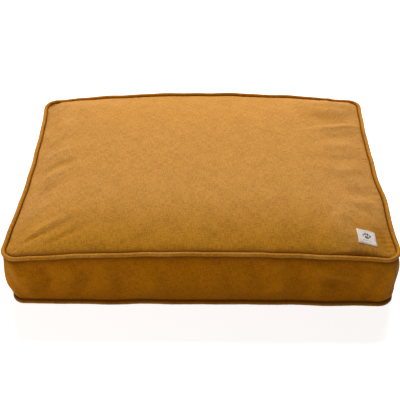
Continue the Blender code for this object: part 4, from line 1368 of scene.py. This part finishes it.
def make_woven_label():
    """A square patch laid on the top panel: the panel's own surface, lifted by its thickness, with
    its edge turned down on to the canvas as e to the minus distance."""
    centre = (label_low + label_high) / 2
    half = (label_high.x - label_low.x) / 2
    share = np.linspace(-1, 1, LABEL_LINES)
    draw = 1 - RIGHT.pinch * (1 - (centre.y / RUN_Y) ** 2) / PANEL_HALF_X
    reach = half * (1 + 2 * abs(LABEL_TURN))
    near = np.linspace(-reach, reach, LABEL_READ)
    patch = top_cloth(centre.x / draw + near, centre.y + near, top_moved)
    cosine, sine = math.cos(LABEL_TURN), math.sin(LABEL_TURN)
    turned_x = half * (share[:, None] * cosine - share[None] * sine)
    turned_y = half * (share[:, None] * sine + share[None] * cosine)
    under = read_grid(patch, *[(turn / reach + 1) / 2 * (LABEL_READ - 1) for turn in (turned_x, turned_y)])
    edge = 1 - np.maximum(np.abs(share)[:, None], np.abs(share)[None])
    lift = 0.0001 + 0.0008 * (1 - np.exp(-edge / 0.06)) + 0.0002 * bell(edge - 0.08, 0.05)
    face = facing(under)
    points = under + face * lift[..., None]
    shares = grid_of((share + 1) / 2, (share + 1) / 2)
    mesh = grid_mesh("paw_label_cloth", points, shares * 2 * half)
    spot = mesh.attributes.new("face", "FLOAT_VECTOR", "POINT")
    flat_shares = np.concatenate([shares, 0 * shares[..., :1]], -1)
    spot.data.foreach_set("vector", flat_shares.astype(np.float32).ravel())
    made = piece("paw_label_cloth", mesh, badge, "bed", ["woven_label"])
    thicken(made, 0.0006, 1.0)
    loop, out = round_trip(points, 2), round_trip(face, 2)
    over = loop + 0.0007 * out
    sewn = stitches_on("paw_label_stitches", over, out, 0.0020, 0.0008, 0.0002, grey_thread, "label_tape")


def make_care_label():
    """A blank satin label folded double, hanging from the seam of the lower band: the band's own
    surface, standing off it by a power of the height, with a slow sine wave."""
    width, tall = care_high.x - care_low.x, care_high.z - care_low.z
    x, z = np.meshgrid(
        np.linspace(care_low.x, care_high.x, 20), np.linspace(care_low.z, care_high.z, 22), indexing="ij"
    )
    under = border_surface(-x[:, 0], lambda low, high: z, None, border_moved)
    free = np.clip((z - care_low.z) / tall, 0, 1)
    y = under[..., 1] + 0.0004 + 0.0011 * free**1.5 + 0.0004 * np.sin(150 * x + 1.0) * free
    mesh = grid_mesh("care_label_cloth", np.stack([x, y, z], -1), np.stack([x, z], -1), flip=True)
    made = piece("care_label_cloth", mesh, care_satin, "bed", ["care_label"])
    thicken(made, 0.0004, 1.0)


make_woven_label()
make_care_label()

# ---------------------------------------------------------------- floor, light and camera


def make_floor():
    """A plain pale floor. Seen directly it is near white, and a little brighter further out where
    the lamps don't reach; it sends little light back up."""
    made, tree = new_material("pale floor")
    shader = tree.nodes["Principled BSDF"]
    place = own_place(tree)
    colour = blend_of(tree, noise_of(tree, place, 6.0, 3.0, 0.5), (0.80, 0.80, 0.80), (0.84, 0.84, 0.84))
    tree.links.new(colour, shader.inputs["Base Color"])
    shader.inputs["Roughness"].default_value = 0.9
    shader.inputs["Specular IOR Level"].default_value = 0.0
    white = ramp_of(tree, vector_step(tree, "LENGTH", place).outputs["Value"], 1.2, 2.6, 0.77, 1.0)
    glow = add(tree, "ShaderNodeEmission", {"Color": white, "Strength": 1.0})
    both = add(tree, "ShaderNodeAddShader", {0: shader.outputs[0], 1: glow.outputs[0]})
    only_seen(tree, "Material Output", both.outputs[0], shader.outputs[0])
    ground = np.linspace(-8.0, 8.0, 9)
    points = np.concatenate([grid_of(ground, ground), np.zeros((9, 9, 1))], -1)
    floor = bpy.data.objects.new("floor", grid_mesh("floor", points))
    bpy.context.scene.collection.objects.link(floor)
    floor.data.materials.append(made)


def only_seen(tree, output, seen, unseen):
    """One shader where it is looked at, another for the light that it gives."""
    looked_at = add(tree, "ShaderNodeLightPath").outputs["Is Camera Ray"]
    final = add(tree, "ShaderNodeMixShader", {0: looked_at, 1: unseen, 2: seen})
    tree.links.new(final.outputs[0], tree.nodes[output].inputs["Surface"])


def make_world(strength):
    """A faint even light from all round, white where it is looked at."""
    world = bpy.data.worlds.new("studio")
    world.use_nodes = True
    tree = world.node_tree
    back = tree.nodes["Background"]
    back.inputs["Color"].default_value = (1.0, 0.99, 0.97, 1.0)
    back.inputs["Strength"].default_value = strength
    plain = add(tree, "ShaderNodeBackground", {"Color": (1, 1, 1, 1), "Strength": 1.0})
    only_seen(tree, "World Output", plain.outputs[0], back.outputs[0])
    bpy.context.scene.world = world


def soft_light(name, place, target, width, height, power, colour):
    """A lamp with a soft oblong face, turned to a target."""
    data = bpy.data.lights.new(name, "AREA")
    data.shape = "RECTANGLE"
    data.size, data.size_y = width, height
    data.energy = power
    data.color = colour
    lamp = bpy.data.objects.new(name, data)
    lamp.location = place
    lamp.rotation_euler = (Vector(target) - Vector(place)).to_track_quat("-Z", "Y").to_euler()
    bpy.context.scene.collection.objects.link(lamp)


CAMERA_TARGET = Vector((-0.0033, 0.0, 0.0433))
CAMERA_DISTANCE = 1.8322
CAMERA_RISE = math.radians(38.674)
CAMERA_SWING = math.radians(-0.857)
CAMERA_ROLL = math.radians(-0.425)
LENS = 70.68


def make_camera():
    """A camera that looks at its target from a distance, a rise and a swing round it, then rolls."""
    sine, cosine = math.sin(CAMERA_SWING), math.cos(CAMERA_SWING)
    flat = math.cos(CAMERA_RISE)
    ahead = Vector((sine * flat, cosine * flat, -math.sin(CAMERA_RISE)))
    level = Vector((cosine, -sine, 0.0))
    above = level.cross(ahead)
    right = level * math.cos(CAMERA_ROLL) + above * math.sin(CAMERA_ROLL)
    up = above * math.cos(CAMERA_ROLL) - level * math.sin(CAMERA_ROLL)
    turned = Matrix((right, up, -ahead)).transposed()
    data = bpy.data.cameras.new("camera")
    data.lens, data.sensor_width = LENS, 36.0
    camera = bpy.data.objects.new("camera", data)
    camera.matrix_world = Matrix.Translation(CAMERA_TARGET - ahead * CAMERA_DISTANCE) @ turned.to_4x4()
    bpy.context.scene.collection.objects.link(camera)
    bpy.context.scene.camera = camera


make_floor()
make_world(0.09)
soft_light("window behind", (0.05, 2.1, 2.5), (0.0, 0.0, 0.1), 2.6, 1.2, 136.0, (1.0, 0.98, 0.95))
soft_light("front fill", (-1.7, -2.2, 1.3), (0.0, -0.1, 0.08), 1.0, 1.0, 25.5, (1.0, 0.96, 0.90))
make_camera()

bpy.context.scene.view_settings.view_transform = "Standard"
